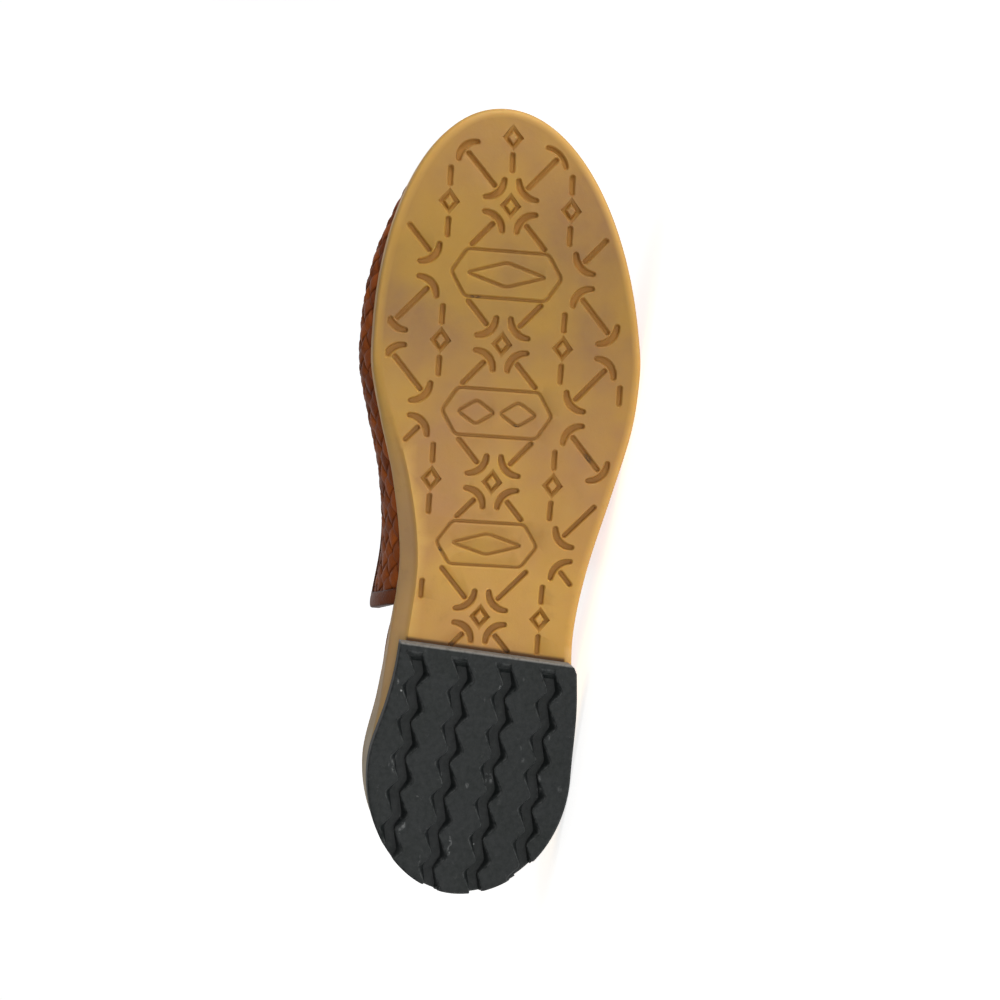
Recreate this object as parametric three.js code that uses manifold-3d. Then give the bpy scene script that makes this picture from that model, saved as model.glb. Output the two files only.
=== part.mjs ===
// A huarache sandal for the left foot, lying on its outer side as it is put down with the sole in view.
// Each piece is worked out in the shoe's own frame: x from the back of the heel to the toe, y to the
// outer side of the foot, z up from the ground, in millimetres. The whole shoe is then laid on its side.
import * as THREE from "three";
import { ConvexHull } from "three/addons/math/ConvexHull.js";
import Module from "manifold-3d";

const wasm = await Module();
wasm.setup();

// Sole
const soleLength = 270;
const ballWidth = 95;
const waistWidth = 63;
const heelWidth = 70;
const forefootThickness = 9;
const heelSeatHeight = 27;
const toeSpring = 9;
const rimRound = 2.4;
const soleStations = 44;
// Heel lift
const liftThickness = 7;
const breastInner = 87;
const breastOuter = 81;
const liftOverhang = 0.4;
const liftRound = 1;
const grooveDepth = 3.4;
const grooveWidth = 5;
const groovePitch = 15.5;
const grooveFirst = -18.5;
const grooveCount = 4;
const grooveSwing = 2.2;
const groovePeriod = 12.3;
const grooveSlowShare = 0.62;
const grooveFrontMargin = 3;
// Last and woven upper
const wallThickness = 2.2;
const forefootMargin = 2;
const heelMargin = 3.2;
const sideSwell = 7.5;
const instepHeight = 58;
const throatHeight = 68;
const stripWidth = 6.6;
const stripRelief = 1.3;
const stripSink = 0.2;
const stripRoofReach = 0.38;
const quarterEndInner = 95;
const quarterEndOuter = 112;
const quarterEndLean = 9;
// Collar band, heel strap and insole
const bandHeight = 6;
const bandProud = 1.5;
const bandBack = 0.2;
const strapWidth = 20;
const strapThickness = 2;
const strapClearance = 1.7;
const strapAnchorInner = 87;
const strapAnchorOuter = 102;
const strapBackHeight = 62;
const strapPower = 3;
const strapOverrun = 1.3;
const strapStations = 80;
const heelLean = 4;
const insoleThickness = 2;
const insoleMarginHeel = 1.6;
const insoleMarginFront = 5.8;
const skirtLean = 0.5;
const skirtTuck = 3;
const skirtDepth = 12;
const skirtTuckShare = 0.5;
// How finely sections, the ridge, the sole's top and the foot opening's edge are followed
const sectionSteps = 48;
const ridgeSteps = 600;
const surfaceSteps = 60;
const toplineSteps = 30;
const smoothGrid = 6;
const smoothLevels = 17;
const shortestLength = 0.4;
// Clearance between pieces that are glued, stitched or woven together
const gap = 0.3;

// Densities in grams for each cubic millimetre, for the way the shoe comes to rest
const rubberDensity = 0.00098;
const leatherDensity = 0.00088;

const gumColor = "#c79a55";
const blackRubberColor = "#35393b";
const weaveColor = "#8a4a26";
const bandColor = "#8f4f2a";
const insoleColor = "#a9713f";

const INNER = -1;
const OUTER = 1;
const reach = 2 * ballWidth;

// The sole's half widths from its long axis. Each row holds shares of the width that it follows.
const heelRoundEnd = 0.155;
const outlineRows = [
  { along: heelRoundEnd, inner: 0.478 * heelWidth, outer: 0.521 * heelWidth },
  { along: 0.24, inner: 0.427 * heelWidth, outer: 0.528 * heelWidth },
  { along: 0.33, inner: 0.435 * waistWidth, outer: 0.566 * waistWidth },
  { along: 0.42, inner: 0.416 * waistWidth, outer: 0.609 * waistWidth },
  { along: 0.52, inner: 0.325 * ballWidth, outer: 0.467 * ballWidth },
  { along: 0.6, inner: 0.389 * ballWidth, outer: 0.522 * ballWidth },
  { along: 0.66, inner: 0.431 * ballWidth, outer: 0.548 * ballWidth },
  { along: 0.7, inner: 0.438 * ballWidth, outer: 0.558 * ballWidth },
];
const toeRound = {
  [INNER]: { start: 0.714, power: 0.473 },
  [OUTER]: { start: 0.578, power: 0.5 },
};

// How far the insole's rim lies inside the sole's: further where the upper stands on the sole
const insoleRows = [
  { along: 0.25, margin: insoleMarginHeel },
  { along: 0.36, margin: insoleMarginFront },
];

// Stretches of the sole's profile, as shares of its length
const seatEnd = 0.2;
const breastShare = 0.325;
const treadStart = 0.56;
const treadEnd = 0.76;

// The last: how far its foot stands in from the sole's rim, how far its sides swell past that as
// shares of sideSwell, the height of its ridge as a share of instepHeight, and how square its sections are.
const lastRows = [
  { along: 0, margin: heelMargin, inner: 0.1, outer: 0.1, ridge: 1.17, square: 0.8 },
  { along: 0.24, margin: heelMargin, inner: 0.7, outer: 0.4, ridge: 1.17, square: 0.8 },
  { along: 0.34, margin: forefootMargin, inner: 1, outer: 0.7, ridge: 1.17, square: 0.8 },
  { along: 0.44, margin: forefootMargin, inner: 0.9, outer: 0.8, ridge: 1.16, square: 0.8 },
  { along: 0.54, margin: forefootMargin, inner: 0.75, outer: 0.6, ridge: 1.1, square: 0.78 },
  { along: 0.61, margin: forefootMargin, inner: 0.75, outer: 0.45, ridge: 1, square: 0.76 },
  { along: 0.7, margin: forefootMargin, inner: 0.8, outer: 0.35, ridge: 0.82, square: 0.72 },
  { along: 0.8, margin: forefootMargin, inner: 0.72, outer: 0.35, ridge: 0.64, square: 0.68 },
  { along: 0.9, margin: forefootMargin, inner: 0.32, outer: 0.3, ridge: 0.5, square: 0.64 },
  { along: 1, margin: forefootMargin, inner: 0.2, outer: 0.2, ridge: 0.46, square: 0.62 },
];
const toeBoxStart = 0.9;
const swellPower = 1.3;

// The edge of the foot opening from the quarters' back end to the throat, in side view
const toplineRows = [
  { along: 0.3, height: 0.87 },
  { along: 0.4, height: 0.82 },
  { along: 0.49, height: 0.81 },
  { along: 0.555, height: 0.85 },
  { along: 0.592, height: 0.93 },
  { along: 0.612, height: 1.06 },
];

function smoothStep(t) {
  const c = Math.min(1, Math.max(0, t));
  return c * c * (3 - 2 * c);
}

// A smooth curve through one column of a table, level before its first row and after its last.
function tableValue(rows, column, along) {
  const last = rows.length - 1;
  if (along <= rows[0].along) return rows[0][column];
  if (along >= rows[last].along) return rows[last][column];
  const slope = (k) =>
    k === 0 || k === last
      ? 0
      : (rows[k + 1][column] - rows[k - 1][column]) / (rows[k + 1].along - rows[k - 1].along);
  const i = rows.findIndex((row) => row.along > along) - 1;
  const span = rows[i + 1].along - rows[i].along;
  const t = (along - rows[i].along) / span;
  const startShare = (1 + 2 * t) * (1 - t) ** 2;
  const endShare = t * t * (3 - 2 * t);
  const startPull = t * (1 - t) ** 2 * span * slope(i);
  const endPull = t * t * (t - 1) * span * slope(i + 1);
  return startShare * rows[i][column] + endShare * rows[i + 1][column] + startPull + endPull;
}

const columnOf = (side) => (side === INNER ? "inner" : "outer");

// How the outline closes at its two ends: 1 along the middle, 0 at the heel's back and at the toe.
function endRounding(share, side) {
  if (share < heelRoundEnd) return Math.sqrt(Math.max(0, 1 - (1 - share / heelRoundEnd) ** 2));
  const { start, power } = toeRound[side];
  if (share <= start) return 1;
  const past = (share - start) / (1 - start);
  return Math.max(0, 1 - past * past) ** power;
}

// The outline's half width on one side, for an outline drawn inside the sole's rim by inset.
function outlineHalf(share, side, inset) {
  return (tableValue(outlineRows, columnOf(side), share) - inset) * endRounding(share, side);
}

const soleShare = (x) => Math.min(1, Math.max(0, x / soleLength));

// Height of the sole's underside and of its top.
function undersideHeight(share) {
  const spring = Math.max(0, (share - treadEnd) / (1 - treadEnd));
  const arch = smoothStep((treadStart - share) / (treadStart - breastShare));
  return liftThickness * arch + toeSpring * spring ** 2;
}

function topHeight(share) {
  const spring = Math.max(0, (share - treadEnd) / (1 - treadEnd));
  const rise = smoothStep((treadStart - share) / (treadStart - seatEnd));
  return forefootThickness + (heelSeatHeight - forefootThickness) * rise + toeSpring * spring ** 2;
}

// A closed solid from points and triangles. Points that coincide are merged, so that a row of faces
// may close to a point, and the faces are turned outwards.
function solidFrom(points, triangles) {
  const index = new Map();
  const vertices = [];
  const merged = points.map((p) => {
    const key = [p.x, p.y, p.z].map((v) => Math.round(v * 1000)).join();
    if (!index.has(key)) {
      index.set(key, vertices.length / 3);
      vertices.push(p.x, p.y, p.z);
    }
    return index.get(key);
  });
  const faces = triangles
    .map((triangle) => triangle.map((k) => merged[k]))
    .filter(([a, b, c]) => a !== b && b !== c && c !== a);
  const corner = (k) => new THREE.Vector3(...vertices.slice(3 * k, 3 * k + 3));
  const volume = faces.reduce(
    (sum, [a, b, c]) => sum + corner(a).dot(corner(b).cross(corner(c))) / 6,
    0,
  );
  const facing = volume < 0 ? faces.map(([a, b, c]) => [a, c, b]) : faces;
  const mesh = new wasm.Mesh({
    numProp: 3,
    vertProperties: new Float32Array(vertices),
    triVerts: new Uint32Array(facing.flat()),
  });
  return new wasm.Manifold(mesh);
}

const quad = (a, b, c, d) => [
  [a, b, c],
  [a, c, d],
];

// Triangles that close a ring of points by pairing its first half with its second half.
function capFaces(ring) {
  const faces = [];
  for (let k = 0; k < ring.length / 2 - 1; k++) {
    faces.push(...quad(ring[k], ring[k + 1], ring[ring.length - 2 - k], ring[ring.length - 1 - k]));
  }
  return faces;
}

// A solid through a row of rings that all have the same even number of points.
function loft(rings) {
  const count = rings[0].length;
  const faces = [];
  for (let r = 0; r < rings.length - 1; r++) {
    for (let k = 0; k < count; k++) {
      const next = (k + 1) % count;
      faces.push(...quad(r * count + k, r * count + next, (r + 1) * count + next, (r + 1) * count + k));
    }
  }
  const ringAt = (r) => Array.from({ length: count }, (_, k) => r * count + k);
  const first = capFaces(ringAt(0)).map(([a, b, c]) => [a, c, b]);
  const last = capFaces(ringAt(rings.length - 1));
  return solidFrom(rings.flat(), [...faces, ...first, ...last]);
}

function solidFromGeometry(geometry) {
  const flat = geometry.index ? geometry.toNonIndexed() : geometry;
  const position = flat.getAttribute("position");
  const points = Array.from({ length: position.count }, (_, k) =>
    new THREE.Vector3().fromBufferAttribute(position, k),
  );
  const faces = Array.from({ length: position.count / 3 }, (_, k) => [3 * k, 3 * k + 1, 3 * k + 2]);
  return solidFrom(points, faces);
}

// A solid that has one outline in side view, given as [x, z] points, and reaches past both sides.
function sideSlab(outline) {
  const shape = new THREE.Shape(outline.map(([x, z]) => new THREE.Vector2(x, z)));
  const geometry = new THREE.ExtrudeGeometry(shape, { depth: reach, bevelEnabled: false });
  geometry.rotateX(Math.PI / 2);
  geometry.translate(0, reach / 2, 0);
  return solidFromGeometry(geometry);
}

const evenly = (count) => Array.from({ length: count + 1 }, (_, k) => k / count);
// Shares that crowd towards both ends, where the outline turns round.
const roundedShares = (count) => evenly(count).map((t) => (1 - Math.cos(Math.PI * t)) / 2);

const always = (value) => () => value;

// One level ring of the sole: the outer side from heel to toe, then the inner side back.
function soleRing(shares, insetAt, heightAt) {
  const pointAt = (share, side) => {
    const inset = insetAt(share);
    const x = inset + share * (soleLength - 2 * inset);
    return new THREE.Vector3(x, side * outlineHalf(share, side, inset), heightAt(soleShare(x)));
  };
  return [
    ...shares.map((share) => pointAt(share, OUTER)),
    ...[...shares].reverse().map((share) => pointAt(share, INNER)),
  ];
}

// Share of a quarter round's radius that its middle keeps from both of its sides
const roundMiddle = 1 - Math.SQRT1_2;

// The rubber sole with its heel block: a flat tread, a rounded lower rim and an upright side.
function makeOutsole() {
  const shares = roundedShares(soleStations);
  const at = (lift) => (share) => undersideHeight(share) + lift;
  return loft([
    soleRing(shares, always(rimRound), at(0)),
    soleRing(shares, always(roundMiddle * rimRound), at(roundMiddle * rimRound)),
    soleRing(shares, always(0), at(rimRound)),
    soleRing(shares, always(0), topHeight),
  ]);
}

// The line across the sole where the heel lift starts
const breastAngle = Math.atan2(breastInner - breastOuter, heelWidth);
const breastMiddle = (breastInner + breastOuter) / 2;

// One zigzag groove of the heel's tread, as a solid to cut away. It runs square to the lift's front
// and ends a little behind it.
function grooveCutter(offset) {
  const corners = [];
  for (let x = -breastMiddle - groovePeriod; x < groovePeriod; x += groovePeriod) {
    corners.push([x, grooveSwing], [x + grooveSlowShare * groovePeriod, -grooveSwing]);
  }
  const behind = corners.filter(([x]) => x < -grooveFrontMargin);
  const edge = (side) => ([x, swing]) =>
    new THREE.Vector2(x, offset + swing + (side * grooveWidth) / 2);
  const shape = new THREE.Shape([...behind.map(edge(INNER)), ...[...behind].reverse().map(edge(OUTER))]);
  const geometry = new THREE.ExtrudeGeometry(shape, { depth: 2 * grooveDepth, bevelEnabled: false });
  geometry.translate(0, 0, -grooveDepth);
  geometry.rotateZ(breastAngle);
  geometry.translate(breastMiddle, 0, 0);
  return solidFromGeometry(geometry);
}

// The black lift under the heel, cut off square at its front, with wavy grooves in its tread.
function makeHeelLift() {
  const shares = roundedShares(soleStations);
  const block = loft([
    soleRing(shares, always(liftRound), always(0)),
    soleRing(shares, always(-liftOverhang), always(liftRound)),
    soleRing(shares, always(-liftOverhang), always(liftThickness - gap)),
  ]);
  const front = new THREE.BoxGeometry(2 * soleLength, reach, reach);
  front.translate(soleLength, 0, 0);
  front.rotateZ(breastAngle);
  front.translate(breastMiddle, 0, 0);
  const offsets = Array.from({ length: grooveCount }, (_, k) => grooveFirst + k * groovePitch);
  return offsets
    .map(grooveCutter)
    .reduce((solid, cutter) => solid.subtract(cutter), block.subtract(solidFromGeometry(front)));
}

// The last inside the sandal, drawn inside its own skin by inset. The station x and the height above
// the sole give the half width; the parameter up runs from 0 at the sole to 1 at the ridge.
function lastSection(x, inset) {
  const back = inset + tableValue(lastRows, "margin", 0);
  const tip = soleLength - inset - tableValue(lastRows, "margin", 1);
  const share = Math.min(1, Math.max(0, (x - back) / (tip - back)));
  const past = Math.max(0, (share - toeBoxStart) / (1 - toeBoxStart));
  const closing = Math.sqrt(Math.max(0, 1 - past * past));
  return {
    x,
    foot: topHeight(soleShare(x)),
    ridge: (instepHeight * tableValue(lastRows, "ridge", share) - inset) * closing,
    half: (side, up) => {
      const angle = (up * up * Math.PI) / 2;
      const upright = Math.cos(angle) ** tableValue(lastRows, "square", share);
      const wide = tableValue(outlineRows, columnOf(side), share) - inset;
      const margin = tableValue(lastRows, "margin", share);
      const swell = sideSwell * tableValue(lastRows, columnOf(side), share);
      const bulge = swell * Math.sin(Math.PI * up ** swellPower);
      return ((wide - margin) * upright + bulge) * endRounding(share, side);
    },
  };
}

const heightAt = (section, up) => section.foot + section.ridge * Math.sin((up * up * Math.PI) / 2);

// The last's half width at a height z above the ground.
function lastHalf(x, z, side, inset) {
  const section = lastSection(x, inset);
  const rise = Math.min(1, Math.max(0, (z - section.foot) / section.ridge));
  return section.half(side, Math.sqrt((2 * Math.asin(rise)) / Math.PI));
}

// A section of the last as a line measured from its ridge: pointAt(girth) follows the outer side for
// positive girths and the inner side for negative ones, and goes on down past the sole.
function measuredSection(x, inset) {
  const section = lastSection(x, inset);
  const sides = {};
  for (const side of [INNER, OUTER]) {
    const line = evenly(sectionSteps).map((t) => {
      const up = 1 - t;
      return { y: side * section.half(side, up), z: heightAt(section, up), girth: 0 };
    });
    for (let k = 1; k < line.length; k++) {
      const step = Math.hypot(line[k].y - line[k - 1].y, line[k].z - line[k - 1].z);
      line[k].girth = line[k - 1].girth + step;
    }
    sides[side] = line;
  }
  return {
    girthOf: (side) => sides[side].at(-1).girth,
    pointAt: (girth) => {
      const line = sides[girth < 0 ? INNER : OUTER];
      const far = Math.abs(girth);
      const foot = line.at(-1);
      if (far >= foot.girth) {
        const past = far - foot.girth;
        const tuck = Math.min(skirtLean * past, skirtTuck, skirtTuckShare * Math.abs(foot.y));
        return new THREE.Vector3(x, foot.y - Math.sign(foot.y) * tuck, foot.z - past);
      }
      const k = line.findIndex((mark) => mark.girth > far);
      const t = (far - line[k - 1].girth) / (line[k].girth - line[k - 1].girth);
      const mix = (name) => line[k - 1][name] + t * (line[k][name] - line[k - 1][name]);
      return new THREE.Vector3(x, mix("y"), mix("z"));
    },
  };
}

// The last's skin, measured out as a woven vamp is: along the ridge back from the toe, and by girth.
function measuredLast(inset) {
  const tip = soleLength - inset - tableValue(lastRows, "margin", 1);
  const marks = [{ x: tip, length: 0 }];
  let height = topHeight(soleShare(tip));
  for (const t of evenly(ridgeSteps).slice(1)) {
    const x = tip - t * t * tip;
    const section = lastSection(x, inset);
    const ridge = section.foot + section.ridge;
    const before = marks.at(-1);
    marks.push({ x, length: before.length + Math.hypot(x - before.x, ridge - height) });
    height = ridge;
  }
  const stationAt = (length) => {
    const k = Math.max(1, marks.findIndex((mark) => mark.length > length));
    const t = (length - marks[k - 1].length) / (marks[k].length - marks[k - 1].length);
    return marks[k - 1].x + t * (marks[k].x - marks[k - 1].x);
  };
  const sections = new Map();
  const sectionAt = (length) => {
    const key = length.toFixed(4);
    if (!sections.has(key)) sections.set(key, measuredSection(stationAt(length), inset));
    return sections.get(key);
  };
  return { stationAt, sectionAt, pointAt: (length, girth) => sectionAt(length).pointAt(girth) };
}

// How many steps of a size cover the last from the toe to past the quarters, and from ridge to sole.
function gridSize(last, step) {
  const backX = strapAnchorInner - strapWidth;
  let columns = 1;
  let widest = 0;
  for (; last.stationAt(columns * step) > backX; columns++) {
    const section = last.sectionAt(columns * step);
    widest = Math.max(widest, section.girthOf(INNER), section.girthOf(OUTER));
  }
  return { columns, rows: Math.ceil(widest / step) + 1 };
}

// A smooth last from the toe to the heel side of the quarters, as a solid.
function smoothLast(inset) {
  const last = measuredLast(inset);
  const { columns } = gridSize(last, smoothGrid);
  const rings = [];
  for (let i = 0; i <= columns; i++) {
    const x = last.stationAt(i === 0 ? shortestLength : i * smoothGrid);
    const section = lastSection(x, inset);
    const at = (side) => (up) => new THREE.Vector3(x, side * section.half(side, up), heightAt(section, up));
    const below = (side) => {
      const half = section.half(side, 0);
      const tuck = Math.min(skirtTuck, skirtTuckShare * half);
      return new THREE.Vector3(x, side * (half - tuck), section.foot - skirtDepth);
    };
    const levels = evenly(smoothLevels);
    rings.push([
      below(OUTER),
      ...levels.map(at(OUTER)),
      ...[...levels].reverse().map(at(INNER)),
      below(INNER),
    ]);
  }
  return loft(rings);
}

// A strip crosses over its neighbour in every other square of the weave.
const cellHalf = stripWidth / Math.SQRT2;
// Half the stretch of skin that a point's direction is measured over
const near = cellHalf / 6;

// The same last with the strips of the weave raised on it. Its points lie on a square grid whose odd
// points are the corners where four strips meet, and each even point is the middle of one square,
// which is a low roof along the strip that lies on top.
function wovenLast() {
  const last = measuredLast(0);
  const { columns, rows } = gridSize(last, cellHalf);
  const points = [];
  const faces = [];
  const raised = (i, j, height) => {
    const length = Math.max(shortestLength, i * cellHalf);
    const girth = j * cellHalf;
    const ahead = Math.max(0.5 * shortestLength, length - near);
    const back = last.pointAt(length + near, girth).sub(last.pointAt(ahead, girth));
    const round = last.pointAt(length, girth + near).sub(last.pointAt(length, girth - near));
    const outwards = round.cross(back).normalize();
    points.push(last.pointAt(length, girth).addScaledVector(outwards, -height));
    return points.length - 1;
  };
  const isMiddle = (i, j) => (i + j) % 2 === 0;
  const onEdge = (i, j) => i === 0 || i === columns || Math.abs(j) === rows;
  const grid = new Map();
  const key = (i, j) => i + "/" + j;
  for (let i = 0; i <= columns; i++) {
    for (let j = -rows; j <= rows; j++) {
      if (!isMiddle(i, j) || onEdge(i, j)) {
        grid.set(key(i, j), raised(i, j, onEdge(i, j) ? 0 : -stripSink));
      }
    }
  }
  for (let i = 0; i <= columns; i++) {
    for (let j = -rows; j <= rows; j++) {
      if (!isMiddle(i, j)) continue;
      const around = [
        [i + 1, j],
        [i, j + 1],
        [i - 1, j],
        [i, j - 1],
      ].map(([a, b]) => grid.get(key(a, b)));
      if (onEdge(i, j)) {
        const middle = grid.get(key(i, j));
        around.forEach((corner, k) => {
          const next = around[(k + 1) % 4];
          if (corner !== undefined && next !== undefined) faces.push([middle, corner, next]);
        });
        continue;
      }
      const [front, outer, back, inner] = around;
      const slant = i % 2 === 0 ? 1 : -1;
      const head = raised(i + stripRoofReach, j + slant * stripRoofReach, stripRelief);
      const tail = raised(i - stripRoofReach, j - slant * stripRoofReach, stripRelief);
      if (slant > 0) {
        faces.push([head, front, outer], [tail, back, inner]);
        faces.push(...quad(head, outer, back, tail), ...quad(tail, inner, front, head));
      } else {
        faces.push([head, inner, front], [tail, outer, back]);
        faces.push(...quad(head, front, outer, tail), ...quad(tail, back, inner, head));
      }
    }
  }
  const edge = (i) => {
    const ring = [];
    for (let j = -rows; j <= rows; j++) ring.push(grid.get(key(i, j)));
    return ring;
  };
  const topped = (ring) => {
    const turned = [];
    for (let k = 0; k < rows; k++) {
      turned.push(...quad(ring[k], ring[k + 1], ring[2 * rows - k - 1], ring[2 * rows - k]));
    }
    return turned;
  };
  faces.push(...topped(edge(0)));
  faces.push(...topped(edge(columns)).map(([a, b, c]) => [a, c, b]));
  for (let i = 0; i < columns; i++) {
    const [here, there] = [i, i + 1].map((k) => [grid.get(key(k, -rows)), grid.get(key(k, rows))]);
    faces.push(...quad(here[0], there[0], there[1], here[1]).map(([a, b, c]) => [a, c, b]));
  }
  return solidFrom(points, faces);
}

// Everything up to a little above the sole, as a slab to cut the feet of the upper with.
function belowSole(clearance) {
  const surface = evenly(surfaceSteps).map((share) => [share * soleLength, topHeight(share) + clearance]);
  const deep = -2 * reach;
  return sideSlab([
    [-reach, deep],
    [soleLength + reach, deep],
    [soleLength + reach, surface.at(-1)[1]],
    ...surface.reverse(),
    [-reach, heelSeatHeight + clearance],
  ]);
}

// Everything above the foot opening's edge lowered by a distance, as a slab to cut with.
function aboveTopline(drop) {
  const knots = toplineRows.map(
    ({ along, height }) => new THREE.Vector2(along * soleLength, height * throatHeight),
  );
  const line = new THREE.SplineCurve(knots).getPoints(toplineSteps);
  const lowered = line.map((point, k) => {
    const before = line[Math.max(0, k - 1)];
    const after = line[Math.min(line.length - 1, k + 1)];
    const along = after.clone().sub(before).normalize();
    return [point.x + along.y * drop, point.y - along.x * drop];
  });
  const [lastX] = lowered.at(-1);
  return sideSlab([[-reach, lowered[0][1]], ...lowered, [lastX, reach], [-reach, reach]]);
}

// Everything behind the back end of the quarters moved forwards by a distance, as a slab to cut with.
// The quarters' inner side reaches further back than their outer side.
function behindQuarters(forwards) {
  const width = 0.5 * (waistWidth + heelWidth);
  const middle = (quarterEndInner + quarterEndOuter) / 2;
  const foot = topHeight(soleShare(middle));
  const lean = quarterEndLean * (reach / throatHeight);
  const slab = [
    [-reach, -reach],
    [lean, -reach],
    [-lean, reach],
    [-reach, reach],
  ];
  const shape = new THREE.Shape(slab.map(([x, z]) => new THREE.Vector2(x, z)));
  const geometry = new THREE.ExtrudeGeometry(shape, { depth: reach, bevelEnabled: false });
  geometry.rotateX(Math.PI / 2);
  geometry.translate(0, reach / 2, -foot);
  geometry.rotateZ(-Math.atan2(quarterEndOuter - quarterEndInner, width));
  geometry.translate(middle + forwards, 0, 2 * foot);
  return solidFromGeometry(geometry);
}

// The vamp and quarters: one hollow wall, open underneath, at the collar and at the back.
function makeUpper() {
  return wovenLast()
    .subtract(smoothLast(wallThickness))
    .subtract(belowSole(gap))
    .subtract(aboveTopline(bandHeight + gap))
    .subtract(behindQuarters(bandHeight + gap));
}

// The smooth band that the strips are turned round, along the foot opening and down the back ends of
// both quarters.
function makeCollarBand() {
  return smoothLast(-bandProud)
    .subtract(smoothLast(wallThickness + bandBack))
    .intersect(aboveTopline(bandHeight).add(behindQuarters(bandHeight)))
    .subtract(aboveTopline(0))
    .subtract(behindQuarters(0))
    .subtract(belowSole(gap));
}

// The strap round the heel: up from the sole behind the quarters, and level at the back. It lies
// inside the weave where they overlap. t runs from -1 at the inner end to 1 at the outer end.
function strapPoint(t, across, inset) {
  const side = t < 0 ? INNER : OUTER;
  const anchor = side === INNER ? strapAnchorInner : strapAnchorOuter;
  const away = Math.abs(t);
  const foot = topHeight(soleShare(anchor));
  const drop = strapBackHeight - foot;
  const run = anchor - heelMargin;
  const speed = Math.hypot(0.5 * Math.PI * run * Math.sin(0.5 * Math.PI * away), 0.5 * heelWidth);
  const slope = -drop * strapPower * away ** (strapPower - 1);
  const turn = Math.atan2(slope, speed);
  const offset = across * strapWidth;
  const z = strapBackHeight - drop * away ** strapPower + Math.cos(turn) * offset;
  const round = Math.max(0, away - (Math.sin(turn) * offset) / speed);
  const lean = heelLean * ((z - heelSeatHeight) / instepHeight) ** 2 * Math.max(0, 1 - round);
  const back = heelMargin + inset;
  const reachShare = round <= 1 ? 1 - Math.cos(0.5 * Math.PI * round) : 1 + 0.5 * Math.PI * (round - 1);
  const plan = back + reachShare * (anchor - back);
  return new THREE.Vector3(plan + lean, side * lastHalf(plan, z, side, inset), z);
}

// The strap, made larger all round by spread.
function strapSolid(spread) {
  const outside = wallThickness + strapClearance - spread;
  const inside = outside + strapThickness + 2 * spread;
  const half = 0.5 + spread / strapWidth;
  const rungs = [-half, -half / 3, half / 3, half];
  const rings = evenly(strapStations).map((share) => {
    const t = strapOverrun * Math.sin(Math.PI * (share - 0.5));
    return [
      ...rungs.map((across) => strapPoint(t, across, outside)),
      ...[...rungs].reverse().map((across) => strapPoint(t, across, inside)),
    ];
  });
  return loft(rings);
}

const makeHeelStrap = () => strapSolid(0).subtract(belowSole(gap));

// The leather insole, notched where the feet of the strap go down past it.
function makeInsole() {
  const insetAt = (share) => tableValue(insoleRows, "margin", share);
  const shares = roundedShares(soleStations);
  return loft([
    soleRing(shares, insetAt, (share) => topHeight(share) + gap),
    soleRing(shares, insetAt, (share) => topHeight(share) + gap + insoleThickness),
  ]).subtract(strapSolid(2 * gap));
}

// A solid as a named mesh with its own material.
function meshOf(name, solid, color, roughness) {
  const { numProp, vertProperties, triVerts } = solid.getMesh();
  const geometry = new THREE.BufferGeometry();
  const position = new Float32Array((vertProperties.length / numProp) * 3);
  for (let k = 0; k < position.length / 3; k++) {
    position.set(vertProperties.subarray(k * numProp, k * numProp + 3), 3 * k);
  }
  geometry.setAttribute("position", new THREE.BufferAttribute(position, 3));
  geometry.setIndex(new THREE.BufferAttribute(new Uint32Array(triVerts), 1));
  geometry.computeVertexNormals();
  const mesh = new THREE.Mesh(geometry, new THREE.MeshStandardMaterial({ color, roughness, metalness: 0 }));
  mesh.name = name;
  return mesh;
}

// Volume and first moment of a mesh, from the tetrahedra that its faces make with the frame's origin.
function momentOf(mesh) {
  const position = mesh.geometry.getAttribute("position");
  const index = mesh.geometry.index;
  const corner = (k) => new THREE.Vector3().fromBufferAttribute(position, index.getX(k));
  const moment = new THREE.Vector3();
  let volume = 0;
  for (let k = 0; k < index.count; k += 3) {
    const [a, b, c] = [corner(k), corner(k + 1), corner(k + 2)];
    const part = a.dot(b.clone().cross(c)) / 6;
    volume += part;
    moment.addScaledVector(a.add(b).add(c), part / 4);
  }
  return { volume, moment };
}

// How far the face that it comes down on may be turned from the outer side
const restingTilt = Math.PI / 7;

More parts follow.
